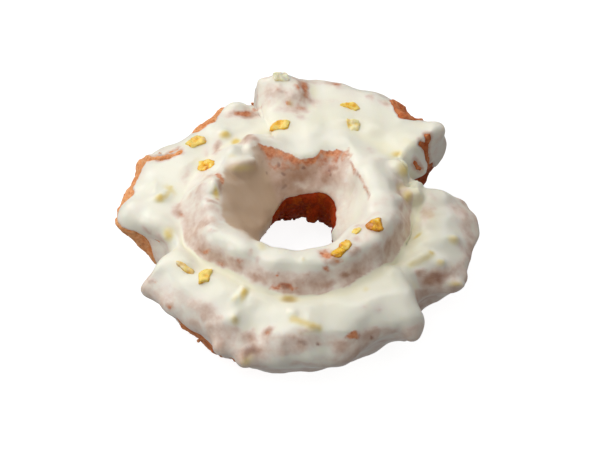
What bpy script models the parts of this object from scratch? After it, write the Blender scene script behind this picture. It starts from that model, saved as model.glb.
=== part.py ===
"""An old-fashioned cake doughnut: a raised collar round the hole, and a broken
outer ring of petals that opened along a crack while it fried.

One solid. The body is a loft: a closed section, in a plane through the hole's
axis, is swept round that axis while its sizes change from petal to petal.
Lengths below are in millimetres and angles in degrees, anticlockwise from +X
seen from above. The mesh itself is in metres, +Z up, with the origin on the
resting plane under the middle of the bounding box.
"""

import math

import bpy
import bmesh
import numpy as np

# ---------------------------------------------------------------- sizes (mm)
SECTIONS = 112          # sections round the hole
MM = 0.001

CREST_HEIGHT = 26.0     # top of the collar
THROAT_HEIGHT = 13.0    # the hole's narrowest level
BASE_OUTER = 31.0       # the flat ring the doughnut rests on
BASE_INNER = 22.5

# Petals of the outer ring: middle angle, half width, softness of the clockwise
# and anticlockwise ends, reach of the rim, rim height, rim thickness, height of
# the top beside the collar, at mid petal and at the outer brow, and the share of
# the petal's width that slopes down from the brow to the rim.
PETALS = {
    #          mid    half  cw    ccw   reach  rim_z rim_t top   mid   brow  slope
    "right":  (-2.0,  32.5, 19.0, 13.0, 44.6,  11.2, 9.5,  18.2, 17.8, 16.2, 0.36),
    "back":   (71.8,  36.2, 4.0,  5.0,  51.4,  18.0, 14.5, 23.8, 24.0, 23.2, 0.20),
    "corner": (127.0, 28.0, 8.0,  9.0,  45.6,  17.0, 9.5,  21.8, 21.4, 20.2, 0.22),
    "left":   (168.0, 23.5, 4.0,  18.0, 46.3,  14.8, 9.5,  19.8, 19.4, 18.4, 0.20),
    "front":  (261.0, 69.0, 13.0, 16.0, 39.9,  12.6, 13.0, 20.0, 19.4, 17.8, 0.24),
}

# Radius of the body inside the cracks between petals, by angle.
CRACK_REACH = [(30, 30.0), (106, 30.0), (148, 40.0), (193, 33.2), (250, 34.2),
               (325, 34.2)]
# Small swellings (+) and nicks (-) of the rim: angle, spread, size.
RIM_BUMPS = [
    (8, 5, 1.3), (22, 6, -0.9), (-3, 5, -0.9), (-15, 9, -2.6), (38, 3.5, -2.2), (53, 6, -3.2),
    (84, 4, 0.8), (101, 3, 0.6), (116.5, 6, 2.8), (131, 9, -2.7), (146, 3, -0.6),
    (151, 4, 1.5), (202, 4, 2.4), (226, 10, -1.5), (240, 3, 1.0), (300, 9, -2.6),
    (313, 4, 1.2),
]
# Where the rim hangs lower (-) or stands higher (+): angle, spread, size.
RIM_DROPS = [(42, 6, -3.0), (146, 6, 1.5), (183, 6, -1.0), (303, 8, 1.6)]

# Sizes that change round the hole, as (angle, value) marks joined smoothly.
THROAT_RADIUS = [(9, 8.3), (31, 9.8), (66, 14.6), (101, 13.4), (130, 10.8),
                 (160, 9.7), (190, 9.7), (230, 10.2), (270, 11.0), (320, 9.6)]
WALL_RADIUS = [(10, 13.6), (45, 17.0), (75, 17.4), (100, 16.0), (130, 16.0),
               (165, 14.6), (200, 13.0), (270, 12.4), (330, 11.6)]
LIP_RADIUS = [(20, 17.6), (38, 18.4), (62, 22.8), (91, 17.8), (113, 23.0),
              (135, 22.0), (155, 20.0), (180, 18.0), (215, 15.8), (270, 14.6),
              (325, 14.6), (355, 16.4)]
LIP_DROP = [(10, 1.0), (60, 1.5), (90, 1.7), (115, 1.6), (170, 1.2), (230, 1.8),
            (300, 1.9)]
CREST_RADIUS = [(12, 22.0), (45, 22.6), (65, 26.0), (91, 22.0), (115, 26.5),
                (150, 24.6), (175, 23.0), (198, 22.2), (230, 20.2), (270, 19.2),
                (310, 20.4), (345, 21.8)]
CREST_RISE = [(0, 0.0), (60, -1.4), (92, -2.2), (120, -0.9), (180, -0.4),
              (230, 0.0), (270, 0.0), (315, 0.2)]
VALLEY_RADIUS = [(0, 27.6), (25, 30.0), (60, 31.0), (90, 29.0), (120, 31.0),
                 (165, 30.2), (195, 28.8), (233, 24.6), (270, 25.4),
                 (318, 25.0), (342, 26.2)]
VALLEY_DEPTH = [(0, 3.0), (30, 2.2), (60, 0.6), (90, 0.4), (120, 1.0),
                (170, 1.4), (215, 1.2), (270, 1.0), (320, 0.9)]
INNER_FOOT = [(0, 14.6), (35, 13.6), (90, 16.4), (180, 15.0), (270, 16.0)]

# Rounded lumps that stand on the top: angle, radius from the axis, spread
# along and across, height, corner sharpness.
LUMPS = [
    (95.2, 45.2, 5.5, 5.4, 2.4, 5),     # knob at the back
    (96.8, 46.6, 2.6, 2.4, 1.7, 2),     # the peel on top of it
    (86.0, 43.5, 1.6, 5.0, -1.4, 2),    # crease on its clockwise side
    (112.5, 42.8, 2.6, 2.2, 2.2, 3),    # small knob beside it
    (108.5, 38.0, 3.5, 2.0, -0.9, 2),   # dip between the two
    (28.0, 27.0, 2.6, 2.2, 1.6, 3),     # swelling on the collar's right
    (9.0, 26.4, 2.6, 2.0, 1.6, 3),
    (131.0, 24.4, 4.4, 3.4, 1.0, 2),    # swelling on the collar's back left
    (139.0, 35.2, 5.5, 1.3, -0.8, 2),   # crease beside the collar
    (250.5, 35.0, 3.4, 3.4, -2.2, 2),   # hollow in the front petal
    (270.0, 36.0, 7.0, 3.0, 0.7, 2),    # fold beside the hollow
]


# ------------------------------------------------------------ shape functions
def ease(x):
    x = np.clip(x, 0.0, 1.0)
    return x * x * (3.0 - 2.0 * x)


def turn(angle, middle):
    """Signed angle from middle, in -180..180."""
    return (angle - middle + 180.0) % 360.0 - 180.0


def around(marks, angle):
    """A size that runs smoothly through its marks round the whole circle."""
    marks = sorted(marks)
    a = np.array([m[0] for m in marks], float)
    v = np.array([m[1] for m in marks], float)
    t = (angle - a[0]) % 360.0 + a[0]
    a = np.append(a, a[0] + 360.0)
    v = np.append(v, v[0])
    i = np.clip(np.searchsorted(a, t, side="right") - 1, 0, len(a) - 2)
    return v[i] + (v[i + 1] - v[i]) * ease((t - a[i]) / (a[i + 1] - a[i]))


def petal_shares(angle):
    """How far each petal is open at an angle (0..1), and its share of the
    sizes there."""
    opened, inside = [], []
    for mid, half, cw, ccw, *_ in PETALS.values():
        d = turn(angle, mid)
        opened.append(ease((d + half) / cw) * ease((half - d) / ccw))
        inside.append(half - np.abs(d))
    opened = np.array(opened)
    share = np.exp(np.clip(np.array(inside) / 3.0, -30.0, 2.0))
    return opened, share / share.sum(0)


def petal_sizes(angle):
    opened, share = petal_shares(angle)
    table = np.array([p[4:] for p in PETALS.values()])
    sizes = np.einsum("pk,p...->k...", table, share)
    core = around(CRACK_REACH, angle)
    reach = core + ((table[:, :1] - core) * opened).max(0)
    for mid, spread, size in RIM_BUMPS:
        reach = reach + size * np.exp(-(turn(angle, mid) / spread) ** 2) * opened.max(0)
    return reach, opened.max(0), sizes[1:]


def section_marks(angle):
    """Control points (radius, height) of the closed section at each angle, from
    the resting ring in through the hole, over the collar and petal, and back."""
    reach, opened, (rim_z, rim_t, top, mid, brow, slope) = petal_sizes(angle)
    shut = 1.0 - opened
    brow = brow - 3.0 * shut
    mid = mid - 2.0 * shut
    top = top - 1.0 * shut
    rim_z = rim_z - 1.5 * shut
    for mid_a, spread, size in RIM_DROPS:
        rim_z = rim_z + size * np.exp(-(turn(angle, mid_a) / spread) ** 2)
    crest = CREST_HEIGHT + around(CREST_RISE, angle)
    crest_r = around(CREST_RADIUS, angle)
    valley_r = around(VALLEY_RADIUS, angle)
    valley_z = top - around(VALLEY_DEPTH, angle)
    out = np.maximum(reach - valley_r, 2.0)
    base_out = np.minimum(BASE_OUTER, reach - 4.0)
    lip_r = around(LIP_RADIUS, angle)
    foot = around(INNER_FOOT, angle)
    return [
        (base_out, -0.7 + 0 * angle),
        ((base_out + BASE_INNER) / 2, -1.0 + 0 * angle),
        (BASE_INNER + 0 * angle, -0.7 + 0 * angle),
        (foot + 1.6, 3.0 + 0 * angle),
        ((foot + around(THROAT_RADIUS, angle)) / 2, 7.6 + 0 * angle),
        (around(THROAT_RADIUS, angle), THROAT_HEIGHT + 0 * angle),
        (around(WALL_RADIUS, angle), 19.0 + 0 * angle),
        (lip_r, crest - around(LIP_DROP, angle)),
        (crest_r, crest),
        (crest_r * 0.45 + valley_r * 0.55, crest * 0.62 + valley_z * 0.38),
        (valley_r, valley_z),
        (valley_r + 0.30 * (1 - slope) * out, top),
        (valley_r + 0.71 * (1 - slope) * out, mid),
        (valley_r + (1 - slope) * out, brow),
        (reach, rim_z),
        (reach - 0.26 * rim_t, rim_z - 0.5 * rim_t),
        ((base_out + reach) / 2 - 0.6, 1.6 + 0.22 * (rim_z - 0.5 * rim_t)),
    ]


STEPS = [1, 1, 2, 2, 3, 3, 3, 3, 3, 3, 2, 3, 3, 3, 3, 3, 2]  # points per stretch


def section(angle, finer=1):
    """The section as a closed smooth curve (Catmull-Rom through its marks)."""
    marks = np.array([[r, z] for r, z in section_marks(angle)])
    n = len(marks)
    rows = []
    for k, steps in enumerate(STEPS):
        a, b, c, d = (marks[(k + s) % n] for s in (-1, 0, 1, 2))
        for i in range(steps * finer):
            t = i / (steps * finer)
            rows.append(0.5 * (2 * b + (c - a) * t + (2 * a - 5 * b + 4 * c - d) * t ** 2
                               + (3 * b - a - 3 * c + d) * t ** 3))
    rows = np.array(rows)                      # point, (r, z), angle
    return rows[:, 0].T, rows[:, 1].T          # angle, point


def waves(x, y, z, length, seed):
    """Smooth unevenness from a few crossed waves, about -1..1."""
    rng = np.random.default_rng(seed)
    total = 0.0
    for _ in range(9):
        d = rng.normal(size=3)
        d *= 2 * math.pi / length / np.linalg.norm(d) * rng.uniform(0.7, 1.4)
        total = total + np.sin(d[0] * x + d[1] * y + d[2] * z + rng.uniform(0, 6.28))
    return total / 3.0


def lumps(x, y, up):
    """Extra height of the lumps on upward faces."""
    angle = np.degrees(np.arctan2(y, x))
    radius = np.hypot(x, y)
    rise = 0.0
    for mid, r, along, across, height, power in LUMPS:
        u = np.radians(turn(angle, mid)) * r / along
        v = (radius - r) / across
        rise = rise + height * np.exp(-(np.abs(u) ** power + np.abs(v) ** power))
    return rise * np.clip(up * 1.6, 0.0, 1.0)


def body_points(sections, finer=1):
    """Points of the loft, (section, point, xyz), in mm about the hole's axis."""
    angle = np.arange(sections) * 360.0 / sections
    r, z = section(angle, finer)
    a = np.radians(angle)[:, None]
    p = np.stack([r * np.cos(a), r * np.sin(a), z], 2)
    along = np.roll(p, -1, 0) - np.roll(p, 1, 0)
    across = np.roll(p, -1, 1) - np.roll(p, 1, 1)
    n = np.cross(across, along)
    n /= np.linalg.norm(n, axis=2, keepdims=True) + 1e-9
    x, y, z = p[..., 0], p[..., 1], p[..., 2]
    uneven = -0.45 * waves(x, y, z, 17.0, 3) - 0.28 * waves(x, y, z, 8.0, 5)
    p = p + n * uneven[..., None]
    p[..., 2] += lumps(x, y, n[..., 2])
    p[..., 2] = np.maximum(p[..., 2], 0.0)     # the flat ring it rests on
    return p


def middle_of(p):
    """The point of the resting plane under the middle of the bounding box."""
    flat = p.reshape(-1, 3)
    low, high = flat.min(0), flat.max(0)
    return np.array([(low[0] + high[0]) / 2, (low[1] + high[1]) / 2, 0.0])


# -------------------------------------------------------------------- build
def loft(name, p, material):
    """Joins the sections into one closed ring of quads."""
    bm = bmesh.new()
    rows = [[bm.verts.new(point * MM) for point in row] for row in p]
    count, size = len(rows), len(rows[0])
    for i in range(count):
        for j in range(size):
            a, b = rows[i], rows[(i + 1) % count]
            k = (j + 1) % size
            bm.faces.new((a[j], b[j], b[k], a[k]))
    bmesh.ops.recalc_face_normals(bm, faces=bm.faces)
    mesh = bpy.data.meshes.new(name)
    bm.to_mesh(mesh)
    bm.free()
    mesh.materials.append(material)
    mesh.shade_smooth()
    obj = bpy.data.objects.new(name, mesh)
    bpy.context.scene.collection.objects.link(obj)
    return obj


def coated_crust():
    m = bpy.data.materials.new("coated_crust")
    m.use_nodes = True
    shader = m.node_tree.nodes["Principled BSDF"]
    shader.inputs["Base Color"].default_value = (0.86, 0.82, 0.68, 1.0)
    shader.inputs["Roughness"].default_value = 0.42
    shader.inputs["Metallic"].default_value = 0.0
    return m


def main():
    for obj in list(bpy.data.objects):
        bpy.data.objects.remove(obj, do_unlink=True)
    p = body_points(SECTIONS)
    p = p - middle_of(p)
    loft("doughnut", p, coated_crust())


main()
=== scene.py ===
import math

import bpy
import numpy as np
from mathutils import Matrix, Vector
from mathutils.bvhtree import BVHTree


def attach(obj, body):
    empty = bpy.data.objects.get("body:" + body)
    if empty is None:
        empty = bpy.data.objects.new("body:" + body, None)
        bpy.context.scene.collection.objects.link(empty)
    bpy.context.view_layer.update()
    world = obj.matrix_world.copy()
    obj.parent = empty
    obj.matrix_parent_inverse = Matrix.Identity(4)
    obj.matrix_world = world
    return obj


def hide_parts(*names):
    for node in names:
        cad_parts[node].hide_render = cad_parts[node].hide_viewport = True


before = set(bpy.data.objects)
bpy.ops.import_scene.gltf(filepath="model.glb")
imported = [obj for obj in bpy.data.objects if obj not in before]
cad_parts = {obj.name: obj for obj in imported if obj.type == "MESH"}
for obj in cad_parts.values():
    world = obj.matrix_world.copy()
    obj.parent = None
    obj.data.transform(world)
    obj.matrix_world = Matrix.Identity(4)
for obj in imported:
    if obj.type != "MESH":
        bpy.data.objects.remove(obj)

# Looks of an iced old-fashioned doughnut: the fried dough with its rough crust,
# the icing coat with its pools, thin patches and lumps, candied peel bits that
# stick out of the icing, and loose crumbs on the broken edges.
# Lengths are in millimetres round the hole's axis until the meshes are made,
# angles in degrees, anticlockwise from +X seen from above.

scene = bpy.context.scene
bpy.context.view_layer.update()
MM = 0.001

# ===================================================================== shape
# The same sizes and functions that shape the solid.
SECTIONS = 112
CRACK_REACH = [(30, 30.0), (106, 30.0), (148, 40.0), (193, 33.2), (250, 34.2),
               (325, 34.2)]
CREST_HEIGHT = 26.0
THROAT_HEIGHT = 13.0
BASE_OUTER = 31.0
BASE_INNER = 22.5

PETALS = {
    #          mid    half  cw    ccw   reach  rim_z rim_t top   mid   brow  slope
    "right":  (-2.0,  32.5, 19.0, 13.0, 44.6,  11.2, 9.5,  18.2, 17.8, 16.2, 0.36),
    "back":   (71.8,  36.2, 4.0,  5.0,  51.4,  18.0, 14.5, 23.8, 24.0, 23.2, 0.20),
    "corner": (127.0, 28.0, 8.0,  9.0,  45.6,  17.0, 9.5,  21.8, 21.4, 20.2, 0.22),
    "left":   (168.0, 23.5, 4.0,  18.0, 46.3,  14.8, 9.5,  19.8, 19.4, 18.4, 0.20),
    "front":  (261.0, 69.0, 13.0, 16.0, 39.9,  12.6, 13.0, 20.0, 19.4, 17.8, 0.24),
}
RIM_BUMPS = [
    (8, 5, 1.3), (22, 6, -0.9), (-3, 5, -0.9), (-15, 9, -2.6), (38, 3.5, -2.2), (53, 6, -3.2),
    (84, 4, 0.8), (101, 3, 0.6), (116.5, 6, 2.8), (131, 9, -2.7), (146, 3, -0.6),
    (151, 4, 1.5), (202, 4, 2.4), (226, 10, -1.5), (240, 3, 1.0), (300, 9, -2.6),
    (313, 4, 1.2),
]
RIM_DROPS = [(42, 6, -3.0), (146, 6, 1.5), (183, 6, -1.0), (303, 8, 1.6)]
THROAT_RADIUS = [(9, 8.3), (31, 9.8), (66, 14.6), (101, 13.4), (130, 10.8),
                 (160, 9.7), (190, 9.7), (230, 10.2), (270, 11.0), (320, 9.6)]
WALL_RADIUS = [(10, 13.6), (45, 17.0), (75, 17.4), (100, 16.0), (130, 16.0),
               (165, 14.6), (200, 13.0), (270, 12.4), (330, 11.6)]
LIP_RADIUS = [(20, 17.6), (38, 18.4), (62, 22.8), (91, 17.8), (113, 23.0),
              (135, 22.0), (155, 20.0), (180, 18.0), (215, 15.8), (270, 14.6),
              (325, 14.6), (355, 16.4)]
LIP_DROP = [(10, 1.0), (60, 1.5), (90, 1.7), (115, 1.6), (170, 1.2), (230, 1.8),
            (300, 1.9)]
CREST_RADIUS = [(12, 22.0), (45, 22.6), (65, 26.0), (91, 22.0), (115, 26.5),
                (150, 24.6), (175, 23.0), (198, 22.2), (230, 20.2), (270, 19.2),
                (310, 20.4), (345, 21.8)]
CREST_RISE = [(0, 0.0), (60, -1.4), (92, -2.2), (120, -0.9), (180, -0.4),
              (230, 0.0), (270, 0.0), (315, 0.2)]
VALLEY_RADIUS = [(0, 27.6), (25, 30.0), (60, 31.0), (90, 29.0), (120, 31.0),
                 (165, 30.2), (195, 28.8), (233, 24.6), (270, 25.4),
                 (318, 25.0), (342, 26.2)]
VALLEY_DEPTH = [(0, 3.0), (30, 2.2), (60, 0.6), (90, 0.4), (120, 1.0),
                (170, 1.4), (215, 1.2), (270, 1.0), (320, 0.9)]
INNER_FOOT = [(0, 14.6), (35, 13.6), (90, 16.4), (180, 15.0), (270, 16.0)]
LUMPS = [
    (95.2, 45.2, 5.5, 5.4, 2.4, 5),     # knob at the back
    (96.8, 46.6, 2.6, 2.4, 1.7, 2),     # the peel on top of it
    (86.0, 43.5, 1.6, 5.0, -1.4, 2),    # crease on its clockwise side
    (112.5, 42.8, 2.6, 2.2, 2.2, 3),    # small knob beside it
    (108.5, 38.0, 3.5, 2.0, -0.9, 2),   # dip between the two
    (28.0, 27.0, 2.6, 2.2, 1.6, 3),     # swelling on the collar's right
    (9.0, 26.4, 2.6, 2.0, 1.6, 3),
    (131.0, 24.4, 4.4, 3.4, 1.0, 2),    # swelling on the collar's back left
    (139.0, 35.2, 5.5, 1.3, -0.8, 2),   # crease beside the collar
    (250.5, 35.0, 3.4, 3.4, -2.2, 2),   # hollow in the front petal
    (270.0, 36.0, 7.0, 3.0, 0.7, 2),    # fold beside the hollow
]
MARKS = 17
STEPS = [1, 1, 2, 2, 3, 3, 3, 3, 3, 3, 2, 3, 3, 3, 3, 3, 2]
THROAT_MARK, RIM_MARK = 5, 14


def ease(x):
    x = np.clip(x, 0.0, 1.0)
    return x * x * (3.0 - 2.0 * x)


def turn(angle, middle):
    return (angle - middle + 180.0) % 360.0 - 180.0


def around(marks, angle):
    marks = sorted(marks)
    a = np.array([m[0] for m in marks], float)
    v = np.array([m[1] for m in marks], float)
    t = (angle - a[0]) % 360.0 + a[0]
    a = np.append(a, a[0] + 360.0)
    v = np.append(v, v[0])
    i = np.clip(np.searchsorted(a, t, side="right") - 1, 0, len(a) - 2)
    return v[i] + (v[i + 1] - v[i]) * ease((t - a[i]) / (a[i + 1] - a[i]))


def petal_shares(angle):
    opened, inside = [], []
    for mid, half, cw, ccw, *_ in PETALS.values():
        d = turn(angle, mid)
        opened.append(ease((d + half) / cw) * ease((half - d) / ccw))
        inside.append(half - np.abs(d))
    opened = np.array(opened)
    share = np.exp(np.clip(np.array(inside) / 3.0, -30.0, 2.0))
    return opened, share / share.sum(0)


def petal_sizes(angle):
    opened, share = petal_shares(angle)
    table = np.array([p[4:] for p in PETALS.values()])
    sizes = np.einsum("pk,p...->k...", table, share)
    core = around(CRACK_REACH, angle)
    reach = core + ((table[:, :1] - core) * opened).max(0)
    for mid, spread, size in RIM_BUMPS:
        reach = reach + size * np.exp(-(turn(angle, mid) / spread) ** 2) * opened.max(0)
    return reach, opened.max(0), sizes[1:]


def section_marks(angle):
    reach, opened, (rim_z, rim_t, top, mid, brow, slope) = petal_sizes(angle)
    shut = 1.0 - opened
    brow = brow - 3.0 * shut
    mid = mid - 2.0 * shut
    top = top - 1.0 * shut
    rim_z = rim_z - 1.5 * shut
    for mid_a, spread, size in RIM_DROPS:
        rim_z = rim_z + size * np.exp(-(turn(angle, mid_a) / spread) ** 2)
    crest = CREST_HEIGHT + around(CREST_RISE, angle)
    crest_r = around(CREST_RADIUS, angle)
    valley_r = around(VALLEY_RADIUS, angle)
    valley_z = top - around(VALLEY_DEPTH, angle)
    out = np.maximum(reach - valley_r, 2.0)
    base_out = np.minimum(BASE_OUTER, reach - 4.0)
    lip_r = around(LIP_RADIUS, angle)
    foot = around(INNER_FOOT, angle)
    return [
        (base_out, -0.7 + 0 * angle),
        ((base_out + BASE_INNER) / 2, -1.0 + 0 * angle),
        (BASE_INNER + 0 * angle, -0.7 + 0 * angle),
        (foot + 1.6, 3.0 + 0 * angle),
        ((foot + around(THROAT_RADIUS, angle)) / 2, 7.6 + 0 * angle),
        (around(THROAT_RADIUS, angle), THROAT_HEIGHT + 0 * angle),
        (around(WALL_RADIUS, angle), 19.0 + 0 * angle),
        (lip_r, crest - around(LIP_DROP, angle)),
        (crest_r, crest),
        (crest_r * 0.45 + valley_r * 0.55, crest * 0.62 + valley_z * 0.38),
        (valley_r, valley_z),
        (valley_r + 0.30 * (1 - slope) * out, top),
        (valley_r + 0.71 * (1 - slope) * out, mid),
        (valley_r + (1 - slope) * out, brow),
        (reach, rim_z),
        (reach - 0.26 * rim_t, rim_z - 0.5 * rim_t),
        ((base_out + reach) / 2 - 0.6, 1.6 + 0.22 * (rim_z - 0.5 * rim_t)),
    ]


def curve_at(marks, k, t):
    a, b, c, d = (marks[(k + s) % MARKS] for s in (-1, 0, 1, 2))
    return 0.5 * (2 * b + (c - a) * t + (2 * a - 5 * b + 4 * c - d) * t ** 2
                  + (3 * b - a - 3 * c + d) * t ** 3)


def waves(x, y, z, length, seed):
    rng = np.random.default_rng(seed)
    total = 0.0
    for _ in range(9):
        d = rng.normal(size=3)
        d *= 2 * math.pi / length / np.linalg.norm(d) * rng.uniform(0.7, 1.4)
        total = total + np.sin(d[0] * x + d[1] * y + d[2] * z + rng.uniform(0, 6.28))
    return total / 3.0


def lumps(x, y, up):
    angle = np.degrees(np.arctan2(y, x))
    radius = np.hypot(x, y)
    rise = 0.0
    for mid, r, along, across, height, power in LUMPS:
        u = np.radians(turn(angle, mid)) * r / along
        v = (radius - r) / across
        rise = rise + height * np.exp(-(np.abs(u) ** power + np.abs(v) ** power))
    return rise * np.clip(up * 1.6, 0.0, 1.0)


def normals(p, closed):
    """Normals of a grid of points (section, row, xyz) that closes round the hole."""
    along = np.roll(p, -1, 0) - np.roll(p, 1, 0)
    across = np.roll(p, -1, 1) - np.roll(p, 1, 1) if closed else np.gradient(p, axis=1)
    n = np.cross(across, along)
    return n / (np.linalg.norm(n, axis=2, keepdims=True) + 1e-9)


def settle(p, closed):
    """The loft's unevenness and lumps, as in the solid."""
    n = normals(p, closed)
    x, y, z = p[..., 0], p[..., 1], p[..., 2]
    uneven = -0.45 * waves(x, y, z, 17.0, 3) - 0.28 * waves(x, y, z, 8.0, 5)
    p = p + n * uneven[..., None]
    p[..., 2] += lumps(x, y, n[..., 2])
    p[..., 2] = np.maximum(p[..., 2], 0.0)
    return p


def solid_points():
    angle = np.arange(SECTIONS) * 360.0 / SECTIONS
    marks = np.array([[r, z] for r, z in section_marks(angle)])
    rows = np.array([curve_at(marks, k, i / steps)
                     for k, steps in enumerate(STEPS) for i in range(steps)])
    a = np.radians(angle)[:, None]
    r, z = rows[:, 0].T, rows[:, 1].T
    return settle(np.stack([r * np.cos(a), r * np.sin(a), z], 2), True)


flat = solid_points().reshape(-1, 3)
MIDDLE = np.array([(flat[:, 0].min() + flat[:, 0].max()) / 2,
                   (flat[:, 1].min() + flat[:, 1].max()) / 2, 0.0])


# ------------------------------------------------------- finer surface sampling
FINE = 22                # curve points between two marks


def fine_angles(count):
    """Angles whose spacing along the outer edge is nearly even, so that the ends
    of the petals get as many points as their fronts."""
    a = np.arange(0, 360, 0.05)
    reach, _, _ = petal_sizes(a)
    step = np.hypot(np.radians(0.05) * reach, 0.75 * (np.roll(reach, -1) - reach))
    window = np.hanning(41)
    step = np.convolve(np.tile(step, 3), window / window.sum(), "same")[len(a):2 * len(a)]
    total = np.concatenate([[0], np.cumsum(step)])
    return np.interp(np.arange(count) / count * total[-1], total, np.append(a, 360.0))


class Loft:
    """Dense section curves at given angles, with lengths along them."""

    def __init__(self, angle):
        self.angle = angle
        marks = np.array([[r, z] for r, z in section_marks(angle)])
        rows = [curve_at(marks, k, i / FINE) for k in range(MARKS) for i in range(FINE)]
        rows.append(rows[0])
        self.rz = np.array(rows).transpose(2, 0, 1)              # angle, point, rz
        step = np.linalg.norm(np.diff(self.rz, axis=1), axis=2)
        self.length = np.concatenate([np.zeros((len(angle), 1)), np.cumsum(step, 1)], 1)

    def at_mark(self, m):
        """Length along each section to a mark, which may be a fraction."""
        x = np.broadcast_to(np.asarray(m, float) * FINE, (len(self.angle),))
        return np.array([np.interp(x[i], np.arange(self.length.shape[1]), self.length[i])
                         for i in range(len(self.angle))])

    def points(self, length):
        """Points (angle, row, xyz) at given lengths along each section."""
        total = self.length[:, -1:]
        wrapped = np.mod(length, total)
        out = np.empty(length.shape + (3,))
        for i, a in enumerate(np.radians(self.angle)):
            r = np.interp(wrapped[i], self.length[i], self.rz[i, :, 0])
            out[i, :, 0] = r * math.cos(a)
            out[i, :, 1] = r * math.sin(a)
            out[i, :, 2] = np.interp(wrapped[i], self.length[i], self.rz[i, :, 1])
        return out


def noise(p, size, seed):
    """Smooth random field over points (..., 3), about -1..1, with features of a
    given size in mm."""
    rng = np.random.default_rng(seed)
    order = rng.permutation(512)
    slopes = rng.normal(size=(512, 3))
    slopes /= np.linalg.norm(slopes, axis=1, keepdims=True)
    q = p / size + rng.uniform(0, 50, 3)
    cell = np.floor(q).astype(int)
    f = q - cell
    u = f * f * f * (f * (f * 6 - 15) + 10)
    total = 0.0
    for corner in range(8):
        o = np.array([corner & 1, corner >> 1 & 1, corner >> 2 & 1])
        c = cell + o
        h = order[(order[(order[c[..., 0] % 512] + c[..., 1]) % 512] + c[..., 2]) % 512]
        w = np.prod(np.where(o == 1, u, 1 - u), axis=-1)
        total = total + w * np.einsum("...k,...k->...", slopes[h], f - o)
    return total * 1.55


def rough(p, size, seed, octaves=3):
    """Craggy field, about -1..1: folds of several sizes."""
    total, weight, sums = 0.0, 1.0, 0.0
    for k in range(octaves):
        total = total + weight * (1.0 - 2.2 * np.abs(noise(p, size / 2.1 ** k, seed + k)))
        sums += weight
        weight *= 0.55
    return total / sums


# ================================================== the photograph's viewpoint
ELEVATION, LENS, SENSOR, WIDE = 46.0, 100.0, 36.0, 148.2
TARGET = np.array([0.0, 0.0, 18.0])
back = np.array([0.0, -math.cos(math.radians(ELEVATION)), math.sin(math.radians(ELEVATION))])
EYE = TARGET + back * WIDE * LENS / SENSOR
RIGHT = np.array([1.0, 0.0, 0.0])
UP = np.cross(RIGHT, -back)
PIXELS = 600 * LENS / SENSOR


def ray(px, py):
    d = -back + RIGHT * (px - 300) / PIXELS + UP * (225 - py) / PIXELS
    return d / np.linalg.norm(d)


def tree_of(p, closed):
    """A tree of a grid's faces, for finding where a line of sight meets it."""
    t, m = p.shape[:2]
    index = np.arange(t * m).reshape(t, m)
    a = index
    b = np.roll(index, -1, 0)
    last = m if closed else m - 1
    c, d = np.roll(b, -1, 1), np.roll(a, -1, 1)
    quads = np.stack([a, b, c, d], 2)[:, :last].reshape(-1, 4)
    return BVHTree.FromPolygons([tuple(v) for v in p.reshape(-1, 3)],
                                [tuple(int(i) for i in q) for q in quads])


survey_angles = fine_angles(420)
survey = Loft(survey_angles)
survey_rows = (np.arange(170) / 170)[None, :] * survey.length[:, -1:]
SKIN = settle(survey.points(survey_rows), True)
SIGHT = tree_of(SKIN, True)


def seen(px, py):
    """Where the line of sight through a place in the photograph meets the body."""
    place, normal, _, _ = SIGHT.ray_cast(Vector(EYE), Vector(ray(px, py)), 1000.0)
    if place is None:
        place, normal, _, _ = SIGHT.find_nearest(
            Vector(EYE + ray(px, py) * (np.linalg.norm(EYE - TARGET))))
    n = np.array(normal)
    p = np.array(place)
    if n @ (EYE - p) < 0:
        n = -n
    return p, n


class Spot:
    """An oval patch on the body: centre, axes in mm and how far it reaches in."""

    def __init__(self, px, py, long_px, wide_px, angle):
        a = math.radians(angle)
        self.p, self.n = seen(px, py)
        scale = np.linalg.norm(self.p - EYE) / PIXELS
        along = RIGHT * math.cos(a) + UP * math.sin(a)
        aside = -RIGHT * math.sin(a) + UP * math.cos(a)
        sight = ray(px, py)

        def onto(v):
            # the direction in the surface that looks like v from the viewpoint
            d = v - sight * (v @ self.n) / min(sight @ self.n, -0.3)
            return d

        u, v = onto(along), onto(aside)
        self.u_len = 0.5 * long_px * scale * min(np.linalg.norm(u), 1.8)
        self.u = u / np.linalg.norm(u)
        self.v_len = 0.5 * wide_px * scale * min(np.linalg.norm(v), 1.8)
        v = v - self.u * (v @ self.u)
        self.v = v / np.linalg.norm(v)
        self.size = scale

    def over(self, p, power=2.0, grow=1.0, depth=3.0):
        q = p - self.p
        a = np.abs(q @ self.u) / (self.u_len * grow)
        b = np.abs(q @ self.v) / (self.v_len * grow)
        c = np.abs(q @ self.n) / max(depth, 0.8 * max(self.u_len, self.v_len))
        return np.exp(-np.minimum(a ** power + b ** power + c ** 2, 30.0))


class Stroke:
    """A band along a line on the body, drawn through places in the photograph."""

    def __init__(self, wide_px, *places):
        self.line = np.array([seen(x, y)[0] for x, y in places])
        self.half = 0.5 * wide_px * 0.247

    def distance(self, p):
        best = np.full(p.shape[:-1], 1e9)
        for a, b in zip(self.line[:-1], self.line[1:]):
            t = np.clip(((p - a) @ (b - a)) / max((b - a) @ (b - a), 1e-9), 0, 1)
            best = np.minimum(best, np.linalg.norm(p - a - t[..., None] * (b - a), axis=-1))
        return best

    def over(self, p, power=2.0, grow=1.0, depth=3.0):
        return np.exp(-np.minimum((self.distance(p) / (self.half * grow)) ** power, 30.0))


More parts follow.
